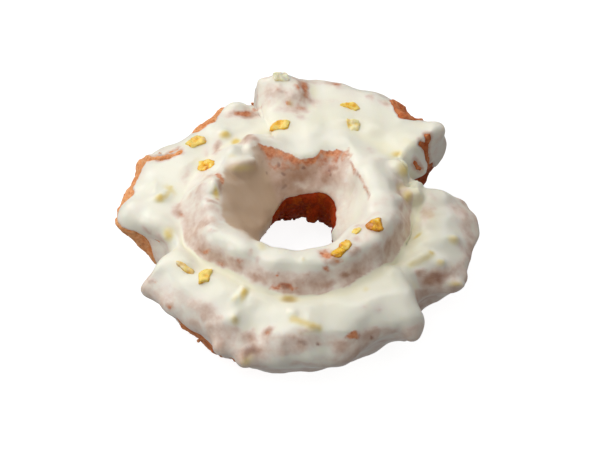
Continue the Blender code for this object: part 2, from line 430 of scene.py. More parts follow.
# ============================================================ what shows where
# How thin the icing is, 0 thick .. 1 nearly none: along the collar's outer slope
# by angle, and the thin band's two edges as marks of the section.
COLLAR_THIN = [(0, 0.85), (12, 0.8), (24, 0.5), (36, 0.12), (60, 0.0), (130, 0.1),
               (155, 0.3), (172, 0.42), (190, 0.64), (205, 0.76), (220, 0.74), (235, 0.76),
               (250, 0.78), (262, 0.9), (285, 0.82), (305, 0.76), (325, 0.8), (343, 0.9)]
COLLAR_FOOT = [(0, 9.72), (20, 9.75), (150, 9.9), (175, 9.9), (202, 9.75), (232, 9.5),
               (248, 9.45), (262, 9.62), (280, 9.82), (298, 9.75), (315, 9.7), (337, 9.7)]
CREST_THIN = [(0, 0.2), (20, 0.12), (40, 0.08), (60, 0.0), (120, 0.1), (150, 0.3),
              (180, 0.3), (205, 0.22), (235, 0.1), (270, 0.1), (300, 0.12), (330, 0.26)]
WALL_THIN = [(0, 0.24), (30, 0.24), (48, 0.3), (58, 0.6), (70, 0.78), (95, 0.86),
             (115, 0.74), (130, 0.62), (150, 0.56), (190, 0.52), (230, 0.24), (330, 0.2)]
# Where the far lip's thick icing breaks off, as marks by angle.
FAR_LIP = [(50, 7.0), (56, 7.05), (61.6, 7.22), (66.5, 7.30), (68.5, 7.2), (72, 7.25),
           (76.2, 7.42), (78, 7.12), (84.3, 7.17), (90, 7.3), (96, 7.38), (102, 7.33),
           (108, 7.3), (111.8, 7.2), (115, 7.56), (120, 7.3), (140, 7.38), (150, 7.28), (200, 7.15),
           (330, 7.0)]
FACE_THIN = [(-35, 0.5), (-20, 0.62), (0, 0.5), (20, 0.5), (32, 0.26), (60, 0.25), (100, 0.4),
             (125, 0.15), (165, 0.2), (195, 0.35), (215, 0.34), (230, 0.38), (250, 0.42),
             (270, 0.46), (300, 0.5), (318, 0.4)]

FACE_FROM = [(-35, 12.9), (-18, 13.2), (0, 13.35), (12, 13.3), (35, 12.6), (60, 12.5), (150, 12.5), (165, 13.3), (180, 13.3),
             (187, 12.7), (200, 12.5),
             (270, 12.55), (288, 12.75), (306, 13.35), (318, 13.2)]

# Patches named by their place in the 600 x 450 picture: x, y, length, width,
# tilt (anticlockwise), strength. They become ovals on the body's surface.
# Thin icing that lets the crust's colour through; a few patches, at (250, 352), (440, 277) and (431, 213), are painted
# shade on hollows and faces turned from the lamps.
THIN_AND_SHADE = [
    (182, 215, 14, 12, 60, 0.75), (190, 238, 14, 9, -30, 0.5), (203, 250, 20, 9, -15, 0.85),
    (224, 262, 26, 10, -22, 0.75), (240, 266, 16, 12, -45, 0.75), (258, 278, 26, 10, -20, 0.8),
    (285, 287, 22, 10, -8, 1.0), (303, 284, 14, 12, 0, 0.6), (326, 284, 18, 12, 0, 0.75),
    (345, 277, 16, 10, 20, 0.9), (366, 268, 18, 12, 28, 0.48), (390, 245, 22, 12, 50, 0.85),
    (401, 226, 18, 10, 78, 0.75), (400, 206, 14, 8, 80, 0.6), (356, 252, 12, 10, 0, 0.6),
    (358, 240, 10, 9, 0, 0.5), (306, 273, 9, 6, 0, 0.6), (276, 275, 8, 6, 0, 0.7),
    (335, 262, 14, 10, 0, 0.7), (327, 255, 12, 12, 40, 0.75), (325, 268, 10, 8, 0, 0.65),
    (213, 231, 16, 6, 0, 0.6), (258, 262, 14, 8, 60, 0.4), (250, 252, 8, 12, 0, 0.4),
    (218, 150, 22, 9, 90, 0.65), (247, 137, 16, 9, -35, 0.7), (220, 184, 34, 7, 85, 0.75),
    (210, 201, 18, 5, -20, 0.7), (196, 196, 18, 10, 60, 0.35), (205, 223, 22, 12, 20, 0.6),
    (232, 217, 22, 5, -55, 0.5), (187, 178, 10, 30, -10, 0.3), (184, 226, 8, 14, 0, 0.3),
    (205, 178, 12, 22, 0, 0.35), (206, 154, 10, 14, 0, 0.3), (230, 152, 12, 10, 0, 0.4), (256, 140, 10, 8, -30, 0.6),
    (247, 117, 24, 10, 5, 0.9), (268, 92, 14, 12, 0, 0.4), (278, 91, 12, 8, 0, 0.6),
    (287, 92, 9, 7, 0, 0.55), (298, 109, 16, 14, -20, 0.6), (270, 104, 16, 10, 0, 0.35), (297, 87, 8, 9, 0, 0.65), (305, 86, 12, 14, -45, 0.9),
    (294, 104, 12, 8, -20, 0.5), (284, 110, 20, 8, 0, 0.4), (300, 100, 10, 16, 0, 0.45),
    (437, 147, 17, 34, 8, 0.15), (292, 107, 24, 16, 0, 0.5), (300, 117, 14, 8, -20, 0.4), (250, 352, 40, 16, 10, 0.9), (303, 331, 22, 8, 0, 0.45), (461, 248, 14, 22, 0, 0.3), (440, 277, 26, 18, 10, 0.95), (332, 168, 22, 14, 0, 0.95),
    (272, 92, 30, 20, 0, 0.5), (292, 100, 22, 24, 0, 0.5), (303, 88, 10, 20, -35, 0.9), (307, 97, 8, 22, -10, 0.6), (302, 110, 12, 10, 0, 0.5),
    (240, 115, 26, 9, 0, 0.8), (334, 84, 20, 6, -10, 0.65), (371, 98, 10, 8, 0, 0.5), (386, 104, 18, 8, -35, 0.5),
    (350, 96, 30, 9, -10, 0.15), (330, 103, 20, 8, 0, 0.18),
    (147, 231, 12, 8, 0, 0.5), (158, 244, 18, 16, -30, 0.65), (190, 215, 14, 14, 0, 0.35), (140, 205, 20, 8, 60, 0.15),
    (152, 282, 10, 12, 60, 0.5), (170, 306, 9, 9, 0, 0.8), (168, 296, 26, 10, -30, 0.35),
    (205, 312, 34, 20, -25, 0.55), (218, 318, 16, 10, 0, 0.5), (195, 324, 22, 10, -35, 0.5),
    (228, 340, 26, 16, -20, 0.45), (250, 337, 20, 16, 10, 0.95), (267, 332, 16, 9, 30, 0.85),
    (262, 356, 26, 12, -10, 0.5), (300, 343, 22, 7, 0, 0.65), (319, 343, 6, 9, 80, 0.8),
    (310, 358, 60, 14, 3, 0.45), (343, 347, 30, 16, 10, 0.68), (371, 338, 9, 8, 0, 0.8),
    (356, 337, 20, 9, 0, 0.7), (390, 331, 30, 10, 10, 0.5), (408, 330, 16, 14, 0, 0.3),
    (280, 352, 22, 16, 0, 0.35), (380, 309, 10, 7, 0, 0.3), (366, 309, 8, 6, 0, 0.22),
    (462, 212, 34, 18, -35, 0.5), (472, 236, 12, 40, 8, 0.5), (470, 262, 10, 30, 5, 0.4), (431, 213, 18, 16, 0, 0.3), (289, 299, 18, 9, -5, 0.5),
    (429, 279, 22, 18, 0, 0.85), (419, 272, 12, 10, 0, 0.75), (440, 286, 26, 10, 0, 0.55),
    (404, 186, 10, 8, 0, 0.3), (432, 196, 14, 8, 0, 0.3), (428, 214, 14, 22, 0, 0.5), (378, 160, 16, 10, 0, 0.2),
    (368, 150, 14, 8, 0, 0.25), (385, 200, 14, 20, 0, 0.25), (376, 246, 18, 14, 40, 0.4),
]
# Crust that shows warm brown through a very thin film.
BROWNED = [
    (290.5, 103.5, 7, 8, 0, 0.72), (277, 89, 8, 5, 0, 0.4), (300, 108, 12, 9, 0, 0.45), (332, 167, 22, 12, 0, 0.35), (288, 288, 26, 8, -6, 0.7),
    (437, 150, 14, 26, 8, 0.2), (304, 88, 9, 20, -30, 0.6), (242, 115, 22, 7, 0, 0.5), (328, 154, 14, 7, 10, 0.9),
    (345, 155, 7, 14, -20, 0.7), (256, 110, 12, 5, 0, 0.6),
    (220, 176, 6, 14, 0, 0.8), (217, 200, 10, 4, -20, 0.5), (244, 115.5, 24, 8, 0, 0.75), (299, 104, 10, 12, -20, 0.35),
    (305, 85, 11, 12, -45, 0.7), (297, 86, 6, 8, 0, 0.65),
    (336, 84, 14, 5, -10, 0.6), (277, 289, 16, 7, -10, 0.7), (206, 250, 13, 6, 0, 0.6),
    (224, 263, 14, 6, -15, 0.4), (290, 288, 14, 8, 0, 0.5), (326, 255, 8, 9, 30, 0.8),
    (326, 268, 8, 7, 0, 0.6), (339, 261, 12, 6, 15, 0.6), (357, 251, 7, 6, 0, 0.5),
    (306, 273, 5, 4, 0, 0.5), (275, 276, 4, 3, 0, 0.9), (354, 336, 15, 7, -10, 0.9),
    (268, 333, 10, 6, 30, 0.5), (156, 282, 7, 5, 0, 0.6), (185, 217, 8, 8, 0, 0.4),
    (170, 306, 6, 8, 30, 0.5), (191, 240, 6, 8, 60, 0.3), (262, 276, 16, 5, -25, 0.4),
    (242, 262, 8, 9, 30, 0.45), (413, 268, 10, 5, -20, 0.35), (400, 238, 8, 12, 20, 0.3),
    (253, 110, 8, 4, 0, 0.7), (343, 275, 9, 7, 0, 0.35), (303, 284, 6, 4, 0, 0.4),
    (212, 229, 10, 4, 0, 0.4), (347, 156, 9, 12, -30, 0.6),
]
# Icing that lies thick and pale over what would be thin.
THICK = [
    (306, 356, 50, 11, 3, 0.75), (420, 258, 32, 13, 27, 0.7), (300, 367, 60, 8, 0, 0.5), (402, 320, 26, 13, 0, 0.5), (300, 263, 40, 10, 0, 0.5), (252, 320, 30, 10, 0, 0.5), (240, 252, 24, 8, 20, 0.5), (296, 309, 30, 12, -5, 0.8),
    (347, 330, 18, 6, 0, 0.5), (325, 188, 36, 9, -8, 0.4), (302, 184, 16, 6, 0, 0.6),
    (360, 205, 12, 34, 10, 0.4), (222, 236, 28, 10, -30, 0.5), (406, 170, 16, 14, 0, 0.7),
    (410, 200, 16, 16, 0, 0.8), (242, 157, 32, 17, 0, 1.1),
    (446, 282, 10, 10, 0, 0.5), (233, 318, 10, 10, 0, 0.6), (272, 250, 20, 8, -20, 0.4),
    (212, 188, 7, 16, 0, 0.6), (376, 188, 14, 16, 0, 0.5), (195, 160, 10, 14, 0, 0.4),
]
# Peel close under the icing: a yellow tint; the one at (431, 214) is painted olive shade on the right petal beside the
# collar.
YELLOWED = [
    (225, 134, 11, 7, 0, 1.0), (236, 142, 9, 9, 0, 1.2), (404.5, 170, 8, 10, 0, 0.85), (243, 168, 30, 8, 0, 0.6),
    (160, 197.5, 10, 7, 0, 1.0), (170, 189, 7, 10, 20, 0.7), (168, 234, 11, 13, 0, 0.85), (169, 236, 8, 6, 0, 0.9),
    (216, 193, 6, 9, 0, 1.0), (210, 184, 7, 8, 0, 0.3), (232, 156, 8, 5, 0, 0.5), (244, 292, 7, 9, -15, 1.0),
    (235, 298, 12, 6, 30, 0.6), (289, 299, 17, 8, -5, 1.0), (313, 326, 12, 8, -10, 0.9),
    (235, 320, 8, 11, 40, 0.7), (262, 246, 9, 7, 0, 0.6), (304, 333, 22, 8, -10, 0.35),
    (431, 214, 18, 18, 0, 0.4),
    (397, 154, 11, 6, 10, 0.9), (417.5, 236, 3, 6, 0, 0.9), 
    (431.5, 252.5, 6, 6, 27, 0.9), (454, 239, 10, 9, 0, 0.75), (441, 262, 8, 7, 0, 0.75),
    (456, 284, 14, 6, 0, 0.7), (407, 195.5, 9, 7, 0, 0.8), (399, 187, 9, 7, 0, 0.6), (366, 289, 5, 5, 0, 0.6), (303, 259, 4, 4, 0, 0.6),
    (247, 361, 10, 5, 0, 0.6), (284, 76, 8, 9, 0, 0.6), (290.5, 103.5, 7, 8, 0, 0.5),
    (174, 250, 3, 3, 0, 0.6), (282, 358, 5, 5, 0, 0.3),
]
# The same along a line: width, strength, points.
YELLOW_LINES = [
    (5.5, 0.75, (160, 198), (165, 197), (169, 192), (171, 187)),
    (8.0, 0.62, (410, 265), (419, 261), (429, 256), (433, 253)),
    (8.5, 0.8, (293, 319), (303, 322), (312, 326), (319, 327.5)),
]
# Dark pores in the thin icing; the patches at (441, 278) and (250, 351) are painted shade in hollows.
PORES_AND_SHADE = [
    (285, 288, 16, 8, -5, 0.75), (441, 278, 24, 13, 5, 0.55), (331, 168, 20, 10, 0, 0.4), (429, 291, 16, 14, 20, 0.3),
    (277, 165, 5, 4, 0, 0.8), (284, 175, 6, 4, 0, 0.8), (303, 168, 4, 3, 0, 1.0),
    (329, 171, 6, 3, -10, 0.9), (332, 175, 4, 3, 0, 0.7), (285, 186, 6, 5, 0, 0.6),
    (267, 172, 4, 4, 0, 0.6), (291, 170, 3, 3, 0, 0.5), (315, 172, 4, 3, 0, 0.4),
    (318, 343, 4, 7, 0, 0.9), (300, 343, 16, 4, 0, 0.5), (371, 338, 6, 6, 0, 0.5),
    (248, 339, 9, 6, 0, 0.5), (250, 351, 22, 12, 0, 0.7), (345, 172, 4, 3, 0, 0.3), (262, 160, 4, 3, 0, 0.4),
]
# Painted shade on the finished coat, added to the pores: under the collar, in the front petal's hollows and between the
# lumps on the right; the one at (290.5, 104.5) softens a brown spot.
SHADED = [(289, 300, 18, 8, -5, 0.6), (290.5, 104.5, 6, 6, 0, 0.45), (314, 328, 14, 8, -10, 0.45), (300, 331, 26, 12, 0, 0.4),
          (245, 340, 16, 12, 0, 0.4), (408, 176, 8, 5, -30, 0.35)]
# Lumps in the icing over bits and chunks: x, y, length, width, tilt, height in
# mm, squareness.
SWELLINGS = [
    (300, 322, 15, 9, -12, 0.4, 4), (313, 326, 14, 9, -12, 0.5, 4), (262, 245, 11, 9, 0, 0.5, 3),
    (366, 289, 6, 5, 0, 0.3, 3), (240, 157, 36, 24, 5, 0.5, 2),
    (303, 259, 5, 4, 0, 0.3, 3), (248, 360, 14, 8, 0, 0.8, 3), (210, 229, 14, 8, 5, 0.4, 3),
    (342, 248, 24, 19, 35, 0.5, 3), (281, 357, 10, 8, 0, 0.3, 3), (356, 336, 20, 9, -10, -0.5, 2),
    (230, 107, 26, 14, 5, 0.6, 3), (396, 174, 26, 34, 0, 0.5, 2), (409, 197, 30, 26, 0, 0.6, 2), (291, 97, 8, 6, 0, 0.4, 2), (350, 332, 24, 8, 0, 0.6, 2),
    (275, 350, 26, 5, -58, -0.7, 2), (415, 147, 12, 8, 0, 0.5, 2),
    (220, 350, 14, 9, 0, 1.0, 3), (244, 361, 11, 9, 0, 1.1, 3), (412, 337, 14, 10, 70, 1.2, 3),
]
# Places where the whole body lies deeper or higher: as above.
PUSHES = [
    (249, 338, 24, 15, 10, -1.5, 2), (136, 243, 34, 22, -38, -2.6, 2), (147, 252, 22, 18, -40, -2.0, 2), (142, 253, 28, 14, -40, -1.2, 2), (190, 132, 26, 12, 38, -1.8, 2), (206, 122, 26, 10, 38, -1.2, 2),
    (294, 97, 18, 20, 0, 0.8, 2), (312, 104, 9, 26, -12, -0.8, 2), (254, 101, 12, 24, 0, -1.9, 2), (305, 80, 9, 9, 0, -1.3, 2),
    (288, 77, 34, 8, 0, -0.8, 2), (265, 83, 12, 8, 0, 0.7, 2), (160, 226, 38, 20, -8, 1.3, 2),
    (314, 212, 13, 9, 0, 2.2, 3), (279, 219, 14, 9, 0, -1.2, 3), (152, 259, 20, 14, -45, -2.4, 2),
    (429, 303, 30, 14, 25, -2.2, 2), (474, 256, 14, 28, 0, -1.2, 2), (466, 275, 8, 10, 0, 0.4, 2),
    (448, 300, 40, 10, 25, -1.2, 2), (424, 306, 22, 12, 25, -1.2, 2),
    (414, 165, 26, 16, -40, 2.5, 2), (406, 108, 16, 8, -40, -0.8, 2), (416, 119, 16, 6, 0, -0.8, 2), (439, 128, 14, 10, -40, 1.2, 2), (476, 238, 10, 16, 0, -0.5, 2),
    (262, 84, 10, 10, 0, 1.3, 2), (385, 350, 44, 12, 20, -2.0, 2), (325, 370, 44, 8, 0, -0.9, 2),
    (400, 344, 26, 8, 25, -0.8, 2),
]
# Places with no icing: ovals, and bands along a line (width, then its points).
BARE = []
BARE_LINES = [
    (6.0, (180, 152), (170, 155), (161, 157.5), (150, 159)), (3.5, (177, 149), (170, 152)),
    (8.5, (427, 137), (426.5, 142)), (7.0, (420.5, 143), (425, 147)),
    (7.5, (425, 146), (426.5, 156), (427, 163)), (12.0, (425, 166), (422, 173)),
    (10.0, (420, 173), (418.5, 180)), (8.0, (424, 170), (421, 178)),
    (4.6, (410, 158.5), (412, 161), (414.5, 164)),
]
# How far the icing's edge lies past the rim, in mm (negative: before it).
EDGE_OUT = [(-30, 16.0), (-10, 13.0), (5, 9.0), (25, 7.0), (33, 6.0), (36, 3.0), (38.3, 3.0),
            (39.2, 7.0), (45, 3.0), (47.6, 0.0), (49, -9.6), (51, -10.2), (54.4, -8.5),
            (57.6, -7.6), (59.6, -6.6), (62, 1.0), (72, 3.0), (85, 4.0), (100, 3.5),
            (108, 2.0), (113, -0.5), (117, -4.7), (119.5, -6.2), (122.5, -6.8), (126, -5.2), (129.7, -3.8),
            (131.8, -0.6), (134, 1.5), (137, 2.0), (146.5, 2.0), (148.3, 0.0), (149.3, -4.6), (151, -4.2),
            (153.5, -2.7), (156, -1.9), (161.5, -3.1), (165, -4.4), (168, -3.8),
            (170.5, -1.3), (173, -0.7), (175, -0.9), (177.5, -1.2), (179, -1.5),
            (180.4, -1.6), (181.6, -0.6), (182.4, 7.0), (183.3, 12.0), (190, 12.0),
            (203, 11.0), (213, 10.0), (218, 6.0), (220, 0.4), (222.5, 1.0), (226, 2.0),
            (230, 3.2), (234, 4.2), (237, 5.2), (239, 10.0), (242.5, 11.0), (244.5, 5.0),
            (248, 4.4), (250, 10.0), (252.4, 11.0), (253.6, 9.0), (255.5, 11.0), (258, 15.0),
            (270, 18.0), (305, 18.0), (322, 18.0)]
EDGE_IN = [(0, 2.6), (8, 1.6), (12, 0.2), (16, -2.1), (54, -2.2), (70, -2.0), (86, -2.1), (99, -1.6),
           (112, -0.9), (124, -0.5), (132, 0.3), (137, 2.4), (152, 2.8), (172, 3.0), (200, 3.0),
           (300, 3.0), (335, 2.8), (350, 2.4)]


# Candied peel: x, y, length, width, tilt, thickness in mm, tone (0 yellow ..
# 1 amber), film of icing over it (0..1)
BITS = [
    (280, 126, 20, 10, 10, 1.7, 0.30, 0.0), (351, 107, 16, 8, -28, 1.6, 0.25, 0.0),
    (195, 141.5, 18, 9, 22, 1.6, 0.30, 0.1), (206, 166, 16, 10, -14, 1.7, 0.60, 0.0),
    (184, 268, 22, 8, -27, 1.3, 0.40, 0.25), (205, 276, 12, 12, 80, 1.4, 0.05, 0.0),
    (377, 225, 16, 14, 40, 1.7, 0.62, 0.0), (338.5, 251.5, 14, 8, 38, 1.1, 0.60, 0.1),
    (345, 245, 12, 7.5, 45, 1.0, 0.55, 0.1), (356, 231, 9, 6, 0, 1.0, 0.15, 0.15),
]
PALE_BITS = [
    (353.5, 126, 13.5, 13.5, -4, 1.3, 0.30, 0.1), (281, 77, 15, 10, 0, 0.8, 0.25, 0.5),
]

# Chunks under the icing that stand out clearly: x, y, length, width, tilt, half
# height in mm, share of it sunk, squareness.
CHUNKS = [
    (213, 186, 11, 17, -10, 2.2, 0.25, 2.3),
    (420, 258, 29, 10, 27, 1.5, 0.25, 2.8), (456, 284, 20, 9, -8, 1.9, 0.3, 2.5),
    (293, 314, 13, 8, -10, 1.5, 0.25, 2.3), (309, 319, 13, 7, -15, 1.4, 0.25, 2.3),
    (234, 318, 10, 10, 30, 1.5, 0.25, 2.2), (243, 292, 10, 10, 0, 1.4, 0.25, 2.2),
    (236, 299, 12, 8, 30, 1.1, 0.25, 2.2), (225, 134, 13, 9, 0, 1.3, 0.25, 2.2),
    (236, 142, 11, 10, 0, 1.3, 0.25, 2.2), (162, 196, 16, 9, 35, 1.3, 0.25, 2.3),
    (156, 187, 8, 14, 5, 0.9, 0.25, 2.3), (168, 234, 12, 13, 0, 1.2, 0.25, 2.2),
    (397, 153, 12, 8, 10, 1.1, 0.25, 2.2), (454, 239, 12, 9, 0, 1.2, 0.3, 2.2),
    (441, 262, 10, 9, 0, 1.1, 0.3, 2.2), (417.5, 236, 4, 8, 0, 0.7, 0.3, 2.2),
    (289, 299, 18, 9, -5, 1.0, 0.2, 2.4),
]
# Larger ones: their middle in mm round the hole's axis, half sizes, turn about the
# vertical, squareness. The coat over them leans the given way.
STANDING = [
    ((24.5, 15.4, 21.2), (3.3, 3.1, 3.5), 0, 2.1), ((27.9, 9.2, 18.3), (2.8, 2.1, 3.0), 12, 3.2),
    ((28.5, 13.4, 17.9), (2.9, 1.8, 2.5), -15, 2.6), ((24.6, 12.0, 20.0), (1.8, 1.6, 2.0), 0, 2.2),
    ((-14.3, 15.2, 24.1), (3.7, 2.0, 1.9), 25, 2.2),
]
LEAN = np.array([0.25, -0.35, 0.90])


def spots(table):
    return [(Spot(*row[:5]), row[5:]) for row in table]


THIN_AND_SHADE, BROWNED, THICK = map(spots, (THIN_AND_SHADE, BROWNED, THICK))
SWELLINGS, BARE, PORES_AND_SHADE = map(spots, (SWELLINGS, BARE, PORES_AND_SHADE))
PUSHES, CHUNKS = spots(PUSHES), spots(CHUNKS)
BARE_LINES = [Stroke(*row) for row in BARE_LINES]


class Surface:
    """The body's skin on a grid, with what decides how it is coated."""

    def __init__(self, loft, length, closed):
        self.loft, self.length, self.closed = loft, length, closed
        p = settle(loft.points(length), closed)
        # the broken ends of the petals are ragged, not cut
        sway = np.stack([noise(p, 7.0, 40 + k) for k in range(3)], -1)
        sway[..., 2] *= 0.6
        low = ease((p[..., 2] - 1.0) / 5.0)
        p = p + 0.55 * sway * low[..., None]
        self.before = p
        n = normals(p, closed)
        for spot, (height, power) in PUSHES:
            p = p + n * (height * spot.over(p, power))[..., None]
        self.p = p
        self.n = normals(p, closed)
        self.angle = np.broadcast_to(loft.angle[:, None], p.shape[:2])
        marks = np.stack([loft.at_mark(m) for m in range(MARKS + 1)], 1)
        self.mark = np.array([np.interp(length[i], marks[i], np.arange(MARKS + 1))
                              for i in range(len(loft.angle))])
        # places pushed about, so that what is laid out by place has ragged edges
        self.loose = p + sum(
            amount * np.stack([noise(p, size, 400 + 10 * k + axis) for axis in range(3)], -1)
            for k, (size, amount) in enumerate(((3.6, 0.8), (1.5, 0.45))))

    def edge_past_rim(self):
        """Length from the rim to the icing's outer edge, kept off the under side."""
        room = self.loft.at_mark(MARKS - 0.12) - self.loft.at_mark(RIM_MARK)
        return np.minimum(around(EDGE_OUT, self.loft.angle), room)

    def spread(self, table, power=2.0, grow=1.0, ragged=True):
        total = np.zeros(self.p.shape[:2])
        places = self.loose if ragged else self.p
        for spot, (strength, *_) in table:
            total = np.maximum(total, strength * spot.over(places, power, grow))
        return total

    def bare_distance(self):
        """Distance in mm from the icing's edge, positive where it covers."""
        p, n = self.p, self.n
        rim = self.loft.at_mark(RIM_MARK)[:, None]
        throat = self.loft.at_mark(THROAT_MARK)[:, None]
        wander = 0.4 * noise(p, 6.0, 11) + 0.4 * noise(p, 2.4, 12) + 0.25 * noise(p, 1.2, 15)
        outer = rim + self.edge_past_rim()[:, None] + wander - self.length
        inner = self.length - (throat - around(EDGE_IN, self.angle) + 0.5 * wander)
        c = np.minimum(outer, inner)
        self.edge_only = c.copy()
        for spot, _ in BARE:
            q = p - spot.p
            a, b = (q @ spot.u) / spot.u_len, (q @ spot.v) / spot.v_len
            d = (q @ spot.n) / 5.0
            ring = (np.sqrt(a * a + b * b + d * d) - 1.0) * min(spot.u_len, spot.v_len)
            c = np.minimum(c, ring + 0.5 * noise(p, 2.2, 13) + 0.35 * noise(p, 1.2, 14))
        for line in BARE_LINES:
            gap = line.distance(self.before) - line.half
            c = np.minimum(c, gap + 0.3 * noise(p, 2.2, 13) + 0.25 * noise(p, 1.2, 14))
        return c

    def swell(self):
        """Height of the icing's lumps, in mm along the normal."""
        total = np.zeros(self.p.shape[:2])
        for spot, (height, power) in SWELLINGS:
            w = spot.over(self.p, power, 1.0)
            total = total + height * w
        return total


def pooled(p, share, times, along=0.0):
    """The same grid of points with its creases filled, as by a runny coat."""
    for _ in range(times):
        n = normals(p, False)
        mean = np.roll(p, 1, 0) + np.roll(p, -1, 0)
        mean[:, 1:-1] += p[:, 2:] + p[:, :-2]
        mean[:, 1:-1] /= 4.0
        mean[:, [0, -1]] /= 2.0
        lift = np.clip(np.einsum("ijk,ijk->ij", mean - p, n), 0.0, 1.0)
        p = p + n * (0.9 * share * lift)[..., None]
        if along:
            creased = ease(lift / 0.03) * share * along
            for _ in range(2):
                creased = np.maximum(creased, 0.8 * np.maximum(np.roll(creased, 1, 0),
                                                               np.roll(creased, -1, 0)))
                creased[:, 1:] = np.maximum(creased[:, 1:], 0.8 * creased[:, :-1])
                creased[:, :-1] = np.maximum(creased[:, :-1], 0.8 * creased[:, 1:])
            p = p + (mean - p) * creased[..., None]
    return p


def over_chunks(p, table):
    """The coat's points lifted over the chunks beneath it."""
    for spot, (half, sunk, power) in table:
        q = p - (spot.p - spot.n * half * sunk)
        room = 1 - (np.abs(q @ spot.u) / spot.u_len) ** power \
            - (np.abs(q @ spot.v) / spot.v_len) ** power
        lift = half * np.clip(room, 0, 1) ** (1 / power) - q @ spot.n
        lift = np.where((room > 0) & (q @ spot.n > -1.8 * half), lift, -9.0)
        lift = np.log1p(np.exp(np.clip(6.0 * lift, -30, 30))) / 6.0
        p = p + spot.n * np.minimum(lift, 1.7 * half)[..., None]
    return p


def over_standing(p, n, table):
    """The coat's points lifted over chunks that stand on the dough."""
    lean = LEAN / np.linalg.norm(LEAN)
    steps = np.arange(0.0, 9.0, 0.06)
    rise = np.zeros(p.shape[:2])
    for middle, half, turned, power in table:
        a = math.radians(turned)
        axes = np.array([[math.cos(a), math.sin(a), 0], [-math.sin(a), math.cos(a), 0], [0, 0, 1]])
        near = (np.linalg.norm(p - middle, axis=2) < 7.5) & (n @ lean > 0.05)
        q = (p[near] - middle) @ axes.T / half
        d = axes @ lean / half
        reach = np.abs(q[:, None] + steps[None, :, None] * d) ** power
        within = reach.sum(2) < 1
        rise[near] = np.maximum(rise[near], np.where(within, steps, 0).max(1))
    for _ in range(4):
        rise = 0.5 * rise + 0.125 * (np.roll(rise, 1, 0) + np.roll(rise, -1, 0)
                                     + np.roll(rise, 1, 1) + np.roll(rise, -1, 1))
    return p + lean * rise[..., None]


def crag(p):
    """Relief of the crust, about -1..1, in lumps of 2 to 5 mm."""
    return 0.6 * rough(p, 5.0, 21) + 0.5 * noise(p, 3.0, 24)


def crumb(p):
    """Relief of the bare crumb, about -1..1, in grains of about 1 mm."""
    return 0.6 * rough(p, 2.0, 31) + 0.5 * noise(p, 1.1, 34)


# =================================================================== meshes
def finish_mesh(name, points, faces, material, attributes=None, smooth=True):
    mesh = bpy.data.meshes.new(name)
    mesh.from_pydata([tuple(v) for v in (points - MIDDLE) * MM], [], faces)
    for key, values in (attributes or {}).items():
        a = mesh.attributes.new(key, "FLOAT", "POINT")
        a.data.foreach_set("value", np.asarray(values, np.float32).ravel())
    mesh.materials.append(material)
    if smooth:
        mesh.shade_smooth()
    mesh.update()
    obj = bpy.data.objects.new(name, mesh)
    scene.collection.objects.link(obj)
    return obj


def grid_faces(t, m, closed, start=0, flip=False):
    index = start + np.arange(t * m).reshape(t, m)
    a, b = index, np.roll(index, -1, 0)
    last = m if closed else m - 1
    c, d = np.roll(b, -1, 1), np.roll(a, -1, 1)
    q = np.stack([a, d, c, b], 2)[:, :last].reshape(-1, 4)
    return q[:, ::-1] if flip else q


# ================================================================ materials
def material(name):
    m = bpy.data.materials.new(name)
    m.use_nodes = True
    return m, m.node_tree, m.node_tree.nodes["Principled BSDF"]


